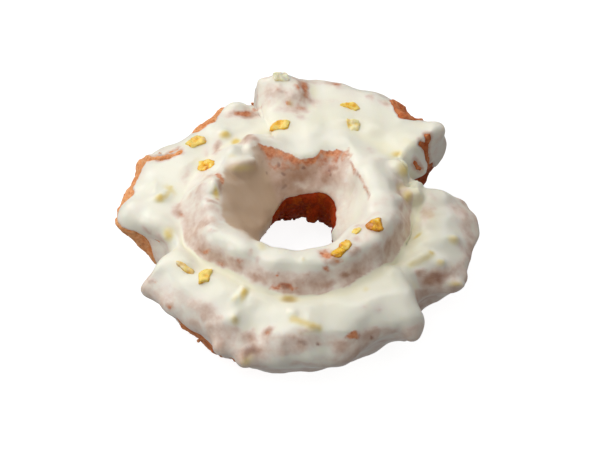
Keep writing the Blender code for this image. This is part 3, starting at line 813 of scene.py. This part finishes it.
class Tree:
    """Short names for wiring a material's nodes."""

    def __init__(self, tree):
        self.t = tree
        self.place = tree.nodes.new("ShaderNodeTexCoord").outputs["Object"]

    def attribute(self, name):
        n = self.t.nodes.new("ShaderNodeAttribute")
        n.attribute_name = name
        return n.outputs["Fac"]

    def put(self, socket, value):
        if isinstance(value, bpy.types.NodeSocket):
            self.t.links.new(value, socket)
        elif isinstance(value, tuple) and len(value) == 3 and socket.type == "RGBA":
            socket.default_value = (*value, 1.0)
        else:
            socket.default_value = value

    def noise(self, size, detail=2.0, rough=0.5, warp=0.0):
        n = self.t.nodes.new("ShaderNodeTexNoise")
        self.put(n.inputs["Vector"], self.place)
        n.inputs["Scale"].default_value = 1000.0 / size
        n.inputs["Detail"].default_value = detail
        n.inputs["Roughness"].default_value = rough
        n.inputs["Distortion"].default_value = warp
        return n.outputs["Fac"]

    def cells(self, size, feature="F1"):
        n = self.t.nodes.new("ShaderNodeTexVoronoi")
        n.feature = feature
        self.put(n.inputs["Vector"], self.place)
        n.inputs["Scale"].default_value = 1000.0 / size
        return n.outputs["Distance"]

    def math(self, operation, a, b=0.0, c=0.0, clamp=False):
        n = self.t.nodes.new("ShaderNodeMath")
        n.operation = operation
        n.use_clamp = clamp
        for socket, value in zip(n.inputs, (a, b, c)):
            self.put(socket, value)
        return n.outputs[0]

    def fit(self, value, a, b, lo=0.0, hi=1.0, smooth=True):
        n = self.t.nodes.new("ShaderNodeMapRange")
        n.interpolation_type = "SMOOTHSTEP" if smooth else "LINEAR"
        for key, v in (("Value", value), ("From Min", a), ("From Max", b),
                       ("To Min", lo), ("To Max", hi)):
            self.put(n.inputs[key], v)
        return n.outputs["Result"]

    def mix(self, share, a, b, blend="MIX"):
        n = self.t.nodes.new("ShaderNodeMix")
        n.data_type = "RGBA"
        n.blend_type = blend
        self.put(n.inputs["Factor"], share)
        self.put(n.inputs["A"], a)
        self.put(n.inputs["B"], b)
        return n.outputs["Result"]

    def ramp(self, value, *stops):
        n = self.t.nodes.new("ShaderNodeValToRGB")
        ramp = n.color_ramp
        while len(ramp.elements) < len(stops):
            ramp.elements.new(0.5)
        for element, (place, colour) in zip(ramp.elements, stops):
            element.position = place
            element.color = (*colour, 1.0)
        self.put(n.inputs["Fac"], value)
        return n.outputs["Color"]

    def bump(self, height, distance, strength=1.0, before=None):
        n = self.t.nodes.new("ShaderNodeBump")
        n.inputs["Strength"].default_value = strength
        n.inputs["Distance"].default_value = distance * MM
        self.put(n.inputs["Height"], height)
        if before is not None:
            self.put(n.inputs["Normal"], before)
        return n.outputs["Normal"]


def linear(r, g, b):
    """A colour given as it looks on screen, 0..255."""
    return tuple((c / 255 / 12.92) if c / 255 <= 0.04045 else ((c / 255 + 0.055) / 1.055) ** 2.4
                 for c in (r, g, b))


def icing_material():
    m, tree, shader = material("icing_coat")
    t = Tree(tree)
    thin_and_shade, browned = t.attribute("thin_and_shade"), t.attribute("browned")
    yellow, pores_and_shade = t.attribute("yellow"), t.attribute("pores_and_shade")
    coarse, middle = t.noise(3.0, 2.0, 0.5), t.noise(1.5, 2.0, 0.5)
    fine = t.noise(0.7, 2.0, 0.6)
    grain = t.math("ADD", t.math("MULTIPLY", coarse, 0.4),
                   t.math("ADD", t.math("MULTIPLY", middle, 0.4),
                          t.math("MULTIPLY", fine, 0.2)))
    calm_and_wall_shade = t.fit(t.attribute("calm_and_wall_shade"), 0.0, 1.0, 1.0, 0.25)
    reach = t.math("MULTIPLY", t.fit(thin_and_shade, 0.0, 0.4, 0.0, 0.72), calm_and_wall_shade)
    swing = t.math("MULTIPLY", t.math("SUBTRACT", grain, 0.5), reach)
    film = t.math("ADD", thin_and_shade, swing, clamp=True)
    # Thin icing turns mauve-brown; the same ramp darkens the painted shade carried with it.
    colour = t.ramp(film,
                    (0.00, linear(243, 240, 224)), (0.18, linear(240, 233, 219)),
                    (0.38, linear(231, 214, 199)), (0.60, linear(215, 189, 171)),
                    (0.80, linear(198, 163, 142)), (1.00, linear(178, 133, 108)))
    # Yellow cream: partly the colour of thick pooled icing, partly painted warm shade in creases and in the valley
    # beside the collar on the right.
    colour = t.mix(t.math("MULTIPLY", t.attribute("cream_and_warm_shade"), 0.75), colour, linear(241, 235, 204))
    # Painted shade: the funnel's wall on the half turned away from the lamps is mixed to tan.
    colour = t.mix(t.math("MULTIPLY", t.attribute("calm_and_wall_shade"), 0.85), colour, linear(196, 168, 138))
    toast = t.ramp(t.math("ADD", t.math("MULTIPLY", middle, 0.6), t.math("MULTIPLY", fine, 0.4)),
                   (0.32, linear(236, 170, 122)), (0.48, linear(222, 140, 88)),
                   (0.62, linear(194, 106, 60)))
    brown = t.math("ADD", browned, t.math("MULTIPLY", t.math("SUBTRACT", grain, 0.5), 1.2))
    brown = t.math("MULTIPLY", t.fit(brown, 0.25, 0.8), t.fit(browned, 0.05, 0.3))
    colour = t.mix(t.math("MULTIPLY", brown, 0.9), colour, toast)
    peel = t.ramp(yellow, (0.25, linear(238, 228, 180)), (0.6, linear(232, 214, 146)),
                  (1.0, linear(232, 202, 108)))
    tint = t.math("ADD", yellow, t.math("MULTIPLY", t.math("SUBTRACT", grain, 0.5), 0.4))
    colour = t.mix(t.math("MULTIPLY", t.fit(tint, 0.05, 1.05), 0.95), colour, peel)
    # Dark pores, and painted shade in hollows and under lumps.
    colour = t.mix(t.math("MULTIPLY", t.fit(pores_and_shade, 0.15, 0.8), 0.6), colour,
                   linear(126, 84, 74))
    t.put(shader.inputs["Base Color"], colour)
    gloss = t.math("ADD", t.fit(thin_and_shade, 0.0, 1.0, 0.30, 0.42, smooth=False),
                   t.math("MULTIPLY", t.math("SUBTRACT", fine, 0.5), 0.12))
    t.put(shader.inputs["Roughness"], gloss)
    relief = t.math("MULTIPLY", grain, t.math("MULTIPLY", t.fit(thin_and_shade, 0.0, 0.7, 0.10, 0.6), calm_and_wall_shade))
    first = t.bump(relief, 0.7, 0.6)
    t.put(shader.inputs["Normal"], t.bump(t.noise(0.45, 2.0), 0.03, 0.5, first))
    shader.inputs["Subsurface Weight"].default_value = 0.25
    shader.inputs["Subsurface Radius"].default_value = (1.0, 0.75, 0.5)
    shader.inputs["Subsurface Scale"].default_value = 0.0012
    shader.inputs["IOR"].default_value = 1.45
    return m


def crust_material():
    m, tree, shader = material("fried_crust")
    t = Tree(tree)
    deep, edge = t.attribute("deep"), t.attribute("worn")
    coarse, fine = t.noise(2.2, 3.0, 0.6, 0.5), t.noise(0.7, 3.0, 0.65)
    fry = t.math("ADD", t.attribute("fry"),
                 t.math("MULTIPLY", t.math("SUBTRACT", coarse, 0.5), 1.6), clamp=True)
    light = t.ramp(fine, (0.36, linear(228, 142, 84)), (0.5, linear(238, 164, 106)),
                   (0.64, linear(246, 188, 138)))
    dark = t.ramp(fine, (0.36, linear(172, 70, 22)), (0.64, linear(206, 104, 46)))
    colour = t.mix(fry, light, dark)
    # Darker red-brown crust deep in the hole, low near the floor and at the back petal's right end: partly its own
    # colour, partly painted shade.
    bottom = t.ramp(coarse, (0.36, linear(156, 50, 1)), (0.5, linear(132, 38, 0)),
                    (0.64, linear(160, 68, 6)))
    colour = t.mix(deep, colour, bottom)
    crumbly = t.ramp(fine, (0.4, linear(236, 188, 142)), (0.6, linear(224, 166, 118)))
    colour = t.mix(t.math("MULTIPLY", edge, 0.6), colour, crumbly)
    pit = t.fit(t.cells(1.3), 0.22, 0.08)
    colour = t.mix(t.math("MULTIPLY", pit, 0.4), colour, linear(120, 54, 24))
    t.put(shader.inputs["Base Color"], colour)
    t.put(shader.inputs["Roughness"], t.fit(fine, 0.3, 0.7, 0.55, 0.72))
    shader.inputs["Specular IOR Level"].default_value = 0.12
    first = t.bump(coarse, 0.9, 0.6)
    second = t.bump(fine, 0.35, 0.8, first)
    t.put(shader.inputs["Normal"], t.bump(t.math("SUBTRACT", 1.0, pit), 0.25, 0.5, second))
    shader.inputs["Subsurface Weight"].default_value = 0.1
    shader.inputs["Subsurface Radius"].default_value = (1.0, 0.5, 0.25)
    shader.inputs["Subsurface Scale"].default_value = 0.001
    return m


def peel_material(name, flesh, middle_tone, rind):
    m, tree, shader = material(name)
    t = Tree(tree)
    tone = t.attribute("tone")
    coarse, fine = t.noise(2.0, 2.0, 0.5, 0.6), t.noise(0.6, 2.0)
    shade = t.math("ADD", tone, t.math("MULTIPLY", t.math("SUBTRACT", coarse, 0.5), 2.2))
    colour = t.ramp(shade, (0.0, linear(*flesh)), (0.45, linear(*middle_tone)),
                    (1.0, linear(*rind)))
    film = t.math("ADD", t.attribute("film"),
                  t.math("MULTIPLY", t.math("SUBTRACT", coarse, 0.5), 1.2), clamp=True)
    colour = t.mix(t.fit(film, 0.15, 0.7, 0.0, 0.92), colour, linear(240, 237, 216))
    t.put(shader.inputs["Base Color"], colour)
    t.put(shader.inputs["Roughness"], t.fit(fine, 0.3, 0.7, 0.2, 0.4))
    first = t.bump(coarse, 0.6, 0.6)
    t.put(shader.inputs["Normal"], t.bump(fine, 0.06, 0.5, first))
    shader.inputs["Subsurface Weight"].default_value = 0.3
    shader.inputs["Subsurface Radius"].default_value = (1.0, 0.6, 0.15)
    shader.inputs["Subsurface Scale"].default_value = 0.001
    return m


ICING, CRUST = icing_material(), crust_material()
PEEL = peel_material("candied_peel", (255, 222, 118), (248, 188, 34), (206, 126, 1))
PALE = peel_material("pale_peel", (248, 236, 186), (240, 212, 124), (226, 168, 54))

# ==================================================================== dough
DOUGH_ROWS = [4, 4, 9, 12, 12, 9, 5, 3, 3, 3, 3, 4, 8, 18, 14, 8, 6]
ANGLES = fine_angles(700)
fine_loft = Loft(ANGLES)
marks_at = np.concatenate([k + np.arange(n) / n for k, n in enumerate(DOUGH_ROWS)])
row_length = np.stack([fine_loft.at_mark(m) for m in marks_at], 1)
body = Surface(fine_loft, row_length, True)
cover = body.bare_distance()
ON = ease(cover / 2.5 + 0.4)                  # 1 where icing hides the dough
DOUGH_SINK = 0.75
naked = 1.0 - ease(cover / 1.2 + 0.6)
z = body.p[..., 2]
under = np.clip(-body.n[..., 2], 0, 1)
inside = ease((20.0 - np.hypot(body.p[..., 0], body.p[..., 1])) / 3.0)
ragged = inside * ease((10.0 - z) / 4.0) * (1 - ease((1.2 - z) / 1.0))
push = (-DOUGH_SINK * ON + naked * (0.52 * crag(body.p) + 0.50 * crumb(body.p) - 0.05)
        + 0.25 * (1 - naked) * crag(body.p)
        + ragged * 0.9 * rough(body.p, 4.5, 61))
dough_p = body.p + body.n * push[..., None]
dough_p[..., 2] = np.maximum(dough_p[..., 2], 0.0)
# Darker crust deep in the hole, near the floor and under the back petal's right end: partly its own colour, partly
# painted shade.
deep = np.clip(inside * ease((20.0 - z) / 2.0) + ease((3.5 - z) / 3.5) * 0.5, 0, 1)
end_on = ease((body.angle - 8) / 8) * ease((46 - body.angle) / 8)
deep = np.maximum(deep, 0.85 * end_on * ease((14.5 - z) / 5.0))
worn = naked * ease(crumb(body.p) * 0.9 + 0.1) * (1 - deep)
fry = around([(0, 0.8), (20, 0.95), (62, 1.0), (75, 0.4), (115, 0.2), (170, 0.1), (186, 0.15),
              (200, 0.3), (215, 0.45), (225, 0.75), (255, 0.8)], body.angle) + 0 * z
dough = finish_mesh("dough", dough_p.reshape(-1, 3),
                    grid_faces(len(ANGLES), row_length.shape[1], True).tolist(), CRUST,
                    {"deep": deep, "worn": worn, "fry": fry})
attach(dough, "root")
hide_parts("doughnut")

# ==================================================================== icing
ICING_ROWS = 117
COARSE = 4
icing_angles = fine_angles(740)
icing_loft = Loft(icing_angles)
MARGIN = 2.2
start = icing_loft.at_mark(THROAT_MARK) - around(EDGE_IN, icing_angles) - MARGIN
# the sheet's end runs evenly past the farthest of the icing nearby
farthest = np.array([np.max(around(EDGE_OUT, a + np.linspace(-8.0, 8.0, 33)))
                     for a in np.arange(360.0)])
window = np.hanning(15)
farthest = np.convolve(np.tile(farthest, 3), window / window.sum(), "same")[360:720]
end = icing_loft.at_mark(RIM_MARK) + MARGIN + np.minimum(
    np.interp(icing_angles, np.arange(361.0), np.append(farthest, farthest[0])),
    icing_loft.at_mark(MARKS - 0.12) - icing_loft.at_mark(RIM_MARK))
share = np.linspace(0, 1, ICING_ROWS)[None, :]
icing_length = start[:, None] + (end - start)[:, None] * share
coat = Surface(icing_loft, icing_length, False)
cover = coat.bare_distance()
p, n = coat.p, coat.n

angle, mark = coat.angle, coat.mark
steep = 1.0 - ease((n[..., 2] - 0.15) / 0.6)
wave6, wave3, wave1 = noise(p, 6.0, 70), noise(p, 2.8, 73), noise(p, 1.4, 74)
peaks = crag(p)
pools = pooled(p, ease(cover / 1.5), 40) - p
pool_depth = np.linalg.norm(pools, axis=2)

# along the marks: the collar's outer slope, its crest, the wall of the funnel
foot = around(COLLAR_FOOT, angle) + 0.10 * noise(p, 5.0, 75) + 0.05 * wave1
band = ease((mark - 8.1 - 0.15 * wave3) / 1.0) * (1 - ease((mark - foot) / 0.14))
thin_and_shade = around(COLLAR_THIN, angle) * band * (0.62 + 0.3 * wave6 + 0.3 * wave3)
crest = ease((mark - 6.9) / 0.3) * (1 - ease((mark - 8.6) / 0.6))
thin_and_shade = np.maximum(thin_and_shade, around(CREST_THIN, angle) * crest * (0.8 + 0.9 * wave3))
lip = around(FAR_LIP, angle) + 0.10 * noise(p, 3.0, 76) + 0.10 * noise(p, 1.3, 77)
blur = around([(48, 1.2), (56, 0.1), (118, 0.1), (127, 1.1), (138, 0.9), (146, 0.45),
               (156, 0.35), (200, 0.35), (225, 0.8), (260, 1.0), (330, 1.2)], angle)
wall_from = around([(0, 5.1), (104, 5.1), (122, 4.5), (205, 4.5), (235, 5.1)], angle)
wall = ease((mark - wall_from) / 0.3) * (1 - ease((mark - lip + 0.6 * (blur - 0.1)) / blur))
thin_and_shade = np.maximum(thin_and_shade, around(WALL_THIN, angle) * wall * (0.95 + 0.08 * wave6))
far = ease((angle - 58) / 7) * ease((120 - angle) / 8)
torn = (1 - ease((mark - lip) / 0.10)) * ease((mark - lip + 1.0 + 0.15 * wave3) / 0.95) * far
far_edge = np.exp(-(((mark - 7.03 - 0.05 * wave1) / 0.10) ** 2)) * ease((58 - angle) / 6) \
    * ease((angle - 2) / 12)
face = ease((mark - around(FACE_FROM, angle)) / 0.55)
thin_and_shade = np.maximum(thin_and_shade, around(FACE_THIN, angle) * face * (0.8 + 0.6 * wave6 + 0.4 * wave3))
thin_and_shade = np.maximum(thin_and_shade, 0.75 * far_edge)
# Thin patches, some of which are painted shade.
thin_and_shade = np.maximum(thin_and_shade, coat.spread(THIN_AND_SHADE, 2.0, 1.05))
thick = coat.spread(THICK, 2.0, 1.0)
thin_and_shade = np.clip(thin_and_shade - 0.8 * thick * (1 - torn), 0, 1)
thin_and_shade = np.clip(np.maximum(thin_and_shade, 0.95 * torn), 0, 1)
browned = np.maximum(coat.spread(BROWNED, 2.5, 1.05), torn * (0.8 + 0.3 * wave1))
browned = np.maximum(browned, 0.45 * far_edge)
browned = np.maximum(browned, 0.36 * wall * far * ease((mark - 5.9) / 0.6) * (1 + 0.5 * wave3))
edge_thin = 1.0 - ease(cover / 1.3)
browned = np.clip(np.maximum(browned, 0.35 * edge_thin * (0.6 + 0.8 * wave3)), 0, 1)
thin_and_shade = np.clip(np.maximum(thin_and_shade, 0.5 * edge_thin), 0, 1)
pores_and_shade = coat.spread(PORES_AND_SHADE, 2.5)
# Painted shade: a calm tan wall in the half of the funnel turned away from the lamps, weaker on the far wall; it also
# quiets the mottles there.
shaded = ease((angle - 62) / 40) * ease((262 - angle) / 40)
calm_and_wall_shade = wall * (1 - 0.75 * far) * (1 - torn) * shaded * (1 - np.clip(thick, 0, 1))
thin_and_shade = np.clip(thin_and_shade * (1 + 0.30 * peaks * (1 - 0.8 * calm_and_wall_shade)), 0, 1)

# Yellow cream in the valley behind the collar and in filled creases: partly thick pooled icing, partly painted warm
# shade.
cream_and_warm_shade = np.exp(-((mark - 10.5) / 1.1) ** 2) * (0.4 + 0.6 * ease(1.5 - np.abs(turn(angle, 0)) / 40))
cream_and_warm_shade = (cream_and_warm_shade + ease(pool_depth / 0.8)) * (1 - 0.7 * ease((angle - 100) / 25)
                                            * ease((205 - angle) / 25))
cream_and_warm_shade = np.clip(cream_and_warm_shade * (1 - ease(thin_and_shade / 0.45)), 0, 1)

ON = ease(cover / 2.5 + 0.4)
bead = 0.85 * np.sqrt(np.clip(1.0 - (1.0 - np.clip(cover / 1.1, 0, 1)) ** 2, 0, 1))
height = -DOUGH_SINK * ON + bead - (1 - ease(cover / 1.2 + 1.0)) * 1.3
relief = 0.14 * noise(p, 9.0, 51) + 0.09 * noise(p, 4.0, 52) + 0.045 * noise(p, 2.0, 54)
relief = relief + thin_and_shade * (0.28 * peaks + 0.10 * noise(p, 1.5, 53)) - 0.15 * thin_and_shade
relief = relief + coat.swell() + 0.2 * thick - 0.22 * pores_and_shade - 0.3 * torn
height = height + relief * ease(cover / 1.5)
pools *= (np.minimum(pool_depth, 2.2) / np.maximum(pool_depth, 1e-6))[..., None]
filled = p + pools
icing_p = filled + normals(filled, False) * height[..., None]
# the last sharp creases run together too
icing_p = pooled(icing_p, ease(cover / 1.5), 18, 0.7)
icing_p = over_standing(icing_p, normals(icing_p, False), STANDING)
icing_p = pooled(over_chunks(icing_p, CHUNKS), ease(cover / 1.5), 7, 0.5)
icing_p[..., 2] = np.maximum(icing_p[..., 2], 0.25)
ICED = tree_of(icing_p, False)


def on_icing(px, py):
    place, normal, _, _ = ICED.ray_cast(Vector(EYE), Vector(ray(px, py)), 1000.0)
    if place is None:
        return seen(px, py)
    nrm = np.array(normal)
    return np.array(place), nrm if nrm @ (EYE - np.array(place)) > 0 else -nrm


yellow = np.zeros(icing_p.shape[:2])
for *row, amount, power, grow in [(*row, 2.2, 1.25) for row in YELLOWED] + \
        [(*row[:5], 0.42, 2.5, 1.35) for row in BITS + PALE_BITS]:
    spot = Spot(*row)
    spot.p = on_icing(*row[:2])[0]
    yellow = np.maximum(yellow, amount * spot.over(icing_p, power, grow))
# Painted shade, put in with the pores on the finished coat.
for *row, amount in SHADED:
    spot = Spot(*row)
    spot.p = on_icing(*row[:2])[0]
    pores_and_shade = np.maximum(pores_and_shade, amount * spot.over(icing_p, 2.2, 1.15))
for wide, amount, *line in YELLOW_LINES:
    stroke = Stroke(wide, *line)
    stroke.line = np.array([on_icing(*place)[0] for place in line])
    yellow = np.maximum(yellow, amount * stroke.over(icing_p, 2.2, 1.25))

# the coat's inner face, on a coarser grid, joined to the outer one at both edges
depth = DOUGH_SINK + 0.5
inner_p = p[::COARSE, ::COARSE] - n[::COARSE, ::COARSE] * depth
inner_p[..., 2] = np.maximum(inner_p[..., 2], 0.35)
T, M = icing_p.shape[:2]
t2, m2 = inner_p.shape[:2]
faces = grid_faces(T, M, False).tolist()
faces += grid_faces(t2, m2, False, T * M, flip=True).tolist()
for row, row_in, turned in ((0, 0, False), (M - 1, m2 - 1, True)):
    for j in range(t2):
        a, b = T * M + j * m2 + row_in, T * M + ((j + 1) % t2) * m2 + row_in
        fine_edge = [((j * COARSE + s) % T) * M + row for s in range(COARSE + 1)]
        half = COARSE // 2
        tris = [(fine_edge[s], fine_edge[s + 1], a) for s in range(half)]
        tris += [(fine_edge[half], b, a)]
        tris += [(fine_edge[s], fine_edge[s + 1], b) for s in range(half, COARSE)]
        faces += [t[::-1] if turned else t for t in tris]


def both(values, inner_value=0.0):
    return np.concatenate([values.ravel(), np.full(t2 * m2, inner_value)])


icing = finish_mesh("icing", np.concatenate([icing_p.reshape(-1, 3), inner_p.reshape(-1, 3)]),
                    faces, ICING, {"thin_and_shade": both(thin_and_shade), "browned": both(browned),
                                   "yellow": both(yellow), "pores_and_shade": both(pores_and_shade),
                                   "calm_and_wall_shade": both(calm_and_wall_shade), "cream_and_warm_shade": both(cream_and_warm_shade)})
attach(icing, "root")

# ============================================================== candied peel
class Bits:
    """Small blocks of peel joined into one mesh: rounded boxes with uneven sides."""

    def __init__(self):
        self.points, self.faces, self.tone, self.film = [], [], [], []
        self.count = 0

    def add(self, centre, u, v, w, size, tone, film, seed, broken=2, cells=10,
            corners=0.9, grain_share=1.0):
        rng = np.random.default_rng(seed)
        g = np.linspace(-1, 1, cells)
        verts, index, faces = [], {}, []

        def vertex(c):
            key = tuple(np.round(c, 5))
            if key not in index:
                index[key] = len(verts)
                verts.append(c)
            return index[key]

        for axis in range(3):
            for side in (-1, 1):
                for i in range(cells - 1):
                    for j in range(cells - 1):
                        quad = []
                        for a, b in ((g[i], g[j]), (g[i + 1], g[j]), (g[i + 1], g[j + 1]),
                                     (g[i], g[j + 1])):
                            c = np.empty(3)
                            c[axis], c[(axis + 1) % 3], c[(axis + 2) % 3] = side, a, b
                            quad.append(vertex(c))
                        faces.append(quad if side > 0 else quad[::-1])
        c = np.array(verts)
        # round the box's edges, then bend and pinch it
        r = np.linalg.norm(c, axis=1)[:, None]
        c = c / (r if corners >= 1 else np.maximum(r / 1.2, 1.0) ** corners)
        for _ in range(broken):
            # a corner or two broken off
            d = rng.normal(size=3) * (1.0, 1.0, 0.5)
            d /= np.linalg.norm(d)
            over = np.maximum(c @ d - rng.uniform(0.62, 0.85), 0)
            c = c - 0.85 * over[:, None] * d
        taper = rng.uniform(-0.22, 0.22, 2)
        c[:, 1] *= 1 + taper[0] * c[:, 0]
        c[:, 2] *= 1 + taper[1] * c[:, 0]
        c[:, 1] += rng.uniform(-0.25, 0.25) * (c[:, 0] ** 2 - 0.4)
        c[:, 2] += rng.uniform(-0.1, 0.35) * (c[:, 0] ** 2 - 0.4)
        c[:, 0] += rng.uniform(-0.3, 0.3) * c[:, 1]
        local = c * np.array(size) / 2
        fine = min(1.0, max(size) / 2.6)
        for step, (grain, amount) in enumerate(((1.6, 0.26), (0.8, 0.10 * fine),
                                                (0.4, 0.03 * fine))):
            local = local + grain_share * amount * np.stack(
                [noise(local + seed, grain, 80 + 4 * step + k) for k in range(3)], -1)
        # hollows in its top, where the amber of the rind shows
        dent = noise(local * (1.0, 1.0, 0.2) + 3.0 * seed, 1.5, 95) * ease(c[:, 2] + 0.3)
        local[:, 2] += 0.30 * grain_share * fine * dent
        world = centre + local[:, :1] * u + local[:, 1:2] * v + local[:, 2:3] * w
        self.faces += [[i + self.count for i in f] for f in faces]
        self.points.append(world)
        self.count += len(world)
        # Paler on top, amber at the sides and below: partly the rind's colour, partly painted shade on the sides.
        self.tone.append(tone - 0.34 * c[:, 2] + 0.1 + 0.9 * np.maximum(-dent, 0)
                         - 0.3 * np.maximum(dent, 0))
        self.film.append(np.clip(film * (0.75 + 0.5 * c[:, 2]), 0, 1))

    def build(self, name, mat, **more):
        looks = {"tone": np.concatenate(self.tone), "film": np.concatenate(self.film)}
        looks.update({key: np.zeros(self.count) + v for key, v in more.items()})
        obj = finish_mesh(name, np.concatenate(self.points), self.faces, mat, looks)
        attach(obj, "root")
        return obj


def frame_at(row, sink):
    """Where a bit sits on the icing: its middle, axes and size."""
    px, py, long_px, wide_px, tilt, thick_mm = row[:6]
    spot = Spot(px, py, long_px, wide_px, tilt)
    place, _ = on_icing(px, py)
    w = np.cross(spot.u, spot.v)
    w = w if w @ spot.n > 0 else -w
    return (place - w * thick_mm * sink, spot.u, np.cross(w, spot.u), w,
            (1.9 * spot.u_len, 1.9 * spot.v_len, thick_mm))


def place_bits(table, name, mat, seed):
    bits = Bits()
    for k, row in enumerate(table):
        square = row[2] == row[3]
        bits.add(*frame_at(row, 0.12), row[6], row[7], seed + k,
                 0 if square else 2, 12, 0.45 if square else 0.9)
    return bits.build(name, mat)


place_bits(BITS, "peel_bits", PEEL, 300)
place_bits(PALE_BITS, "peel_bits_pale", PALE, 400)

# ==================================================================== crumbs
# Loose grains of crust stuck on the broken edges, of uneven size.
rng = np.random.default_rng(17)
away = np.hypot(body.p[..., 0], body.p[..., 1])
bare = (body.bare_distance() < -0.25) & (z > 1.5) & ((away > 26) | (z < 11)) & (z > 1.0)
places = np.argwhere(bare)
crumbs, dark = Bits(), []
for k in range(110):
    i, j = places[rng.integers(len(places))]
    at, out = dough_p[i, j], body.n[i, j]
    side = np.cross(out, rng.normal(size=3))
    side /= np.linalg.norm(side)
    length = rng.uniform(0.45, 1.25) ** 1.3
    size = (length, length * rng.uniform(0.55, 0.9), length * rng.uniform(0.4, 0.8))
    before = crumbs.count
    crumbs.add(at + out * 0.22 * size[2], side, np.cross(out, side), out, size, 0.5, 0.0,
               500 + k, 2, 5)
    dark += [(deep[i, j], 0.5 * (1 - deep[i, j]), fry[i, j])] * (crumbs.count - before)
dark = np.array(dark)
crumbs.build("crust_crumbs", CRUST, deep=dark[:, 0], worn=dark[:, 1], fry=dark[:, 2])

# ==================================================================== stage
floor_mesh = bpy.data.meshes.new("floor")
floor_mesh.from_pydata([(-3, -3, 0), (3, -3, 0), (3, 3, 0), (-3, 3, 0)], [], [(0, 1, 2, 3)])
floor = bpy.data.objects.new("floor", floor_mesh)
scene.collection.objects.link(floor)
floor_mat, _, floor_shader = material("floor_pale")
floor_shader.inputs["Base Color"].default_value = (0.30, 0.30, 0.30, 1.0)
floor_shader.inputs["Roughness"].default_value = 0.9
floor_shader.inputs["Specular IOR Level"].default_value = 0.0
floor_shader.inputs["Emission Color"].default_value = (1, 1, 1, 1)
floor_shader.inputs["Emission Strength"].default_value = 0.90
floor_mesh.materials.append(floor_mat)
floor.visible_diffuse = False
floor.visible_glossy = False

world = bpy.data.worlds.new("studio")
world.use_nodes = True
scene.world = world
wt = world.node_tree
coords = wt.nodes.new("ShaderNodeTexCoord")
split = wt.nodes.new("ShaderNodeSeparateXYZ")
wt.links.new(coords.outputs["Generated"], split.inputs[0])
ramp = wt.nodes.new("ShaderNodeMapRange")
ramp.inputs["From Min"].default_value = -0.4
ramp.inputs["From Max"].default_value = 0.1
ramp.inputs["To Min"].default_value = 0.34
ramp.inputs["To Max"].default_value = 0.15
wt.links.new(split.outputs["Z"], ramp.inputs["Value"])
sky = wt.nodes["Background"]
sky.inputs["Color"].default_value = (1.0, 1.0, 1.0, 1.0)
wt.links.new(ramp.outputs["Result"], sky.inputs["Strength"])


def lamp(name, azimuth, elevation, size, power, colour=(1.0, 1.0, 1.0), far=0.7):
    data = bpy.data.lights.new(name, "AREA")
    data.shape = "DISK"
    data.size = size
    data.energy = power
    data.color = colour
    obj = bpy.data.objects.new(name, data)
    scene.collection.objects.link(obj)
    a, e = math.radians(azimuth), math.radians(elevation)
    obj.location = (far * math.cos(a) * math.cos(e), far * math.sin(a) * math.cos(e),
                    0.015 + far * math.sin(e))
    obj.rotation_mode = "QUATERNION"
    obj.rotation_quaternion = (Vector((0, 0, 0.015)) - obj.location).to_track_quat("-Z", "Y")
    return obj


LAMPS = [("back_right", 45, 25, 0.35, 0.65), ("back_left", 135, 30, 0.35, 0.95),
         ("left", 180, 20, 0.35, 0.95), ("front_left", 225, 25, 0.35, 0.55),
         ("over_back", 90, 52, 0.35, 0.70), ("over_back_left", 140, 60, 0.35, 0.92),
         ("over_left", 200, 60, 0.35, 0.85), ("over_front", 260, 60, 0.35, 0.18),
         ("over_right", 320, 60, 0.35, 0.50)]
for row in LAMPS:
    lamp(*row)

camera_data = bpy.data.cameras.new("camera")
camera_data.lens = LENS
camera_data.sensor_width = SENSOR
camera_data.clip_start = 0.01
camera = bpy.data.objects.new("camera", camera_data)
scene.collection.objects.link(camera)
camera.location = (EYE - MIDDLE) * MM
camera.rotation_mode = "QUATERNION"
camera.rotation_quaternion = Vector(-back).to_track_quat("-Z", "Y")
scene.camera = camera
scene.view_settings.view_transform = "Standard"
scene.view_settings.look = "None"
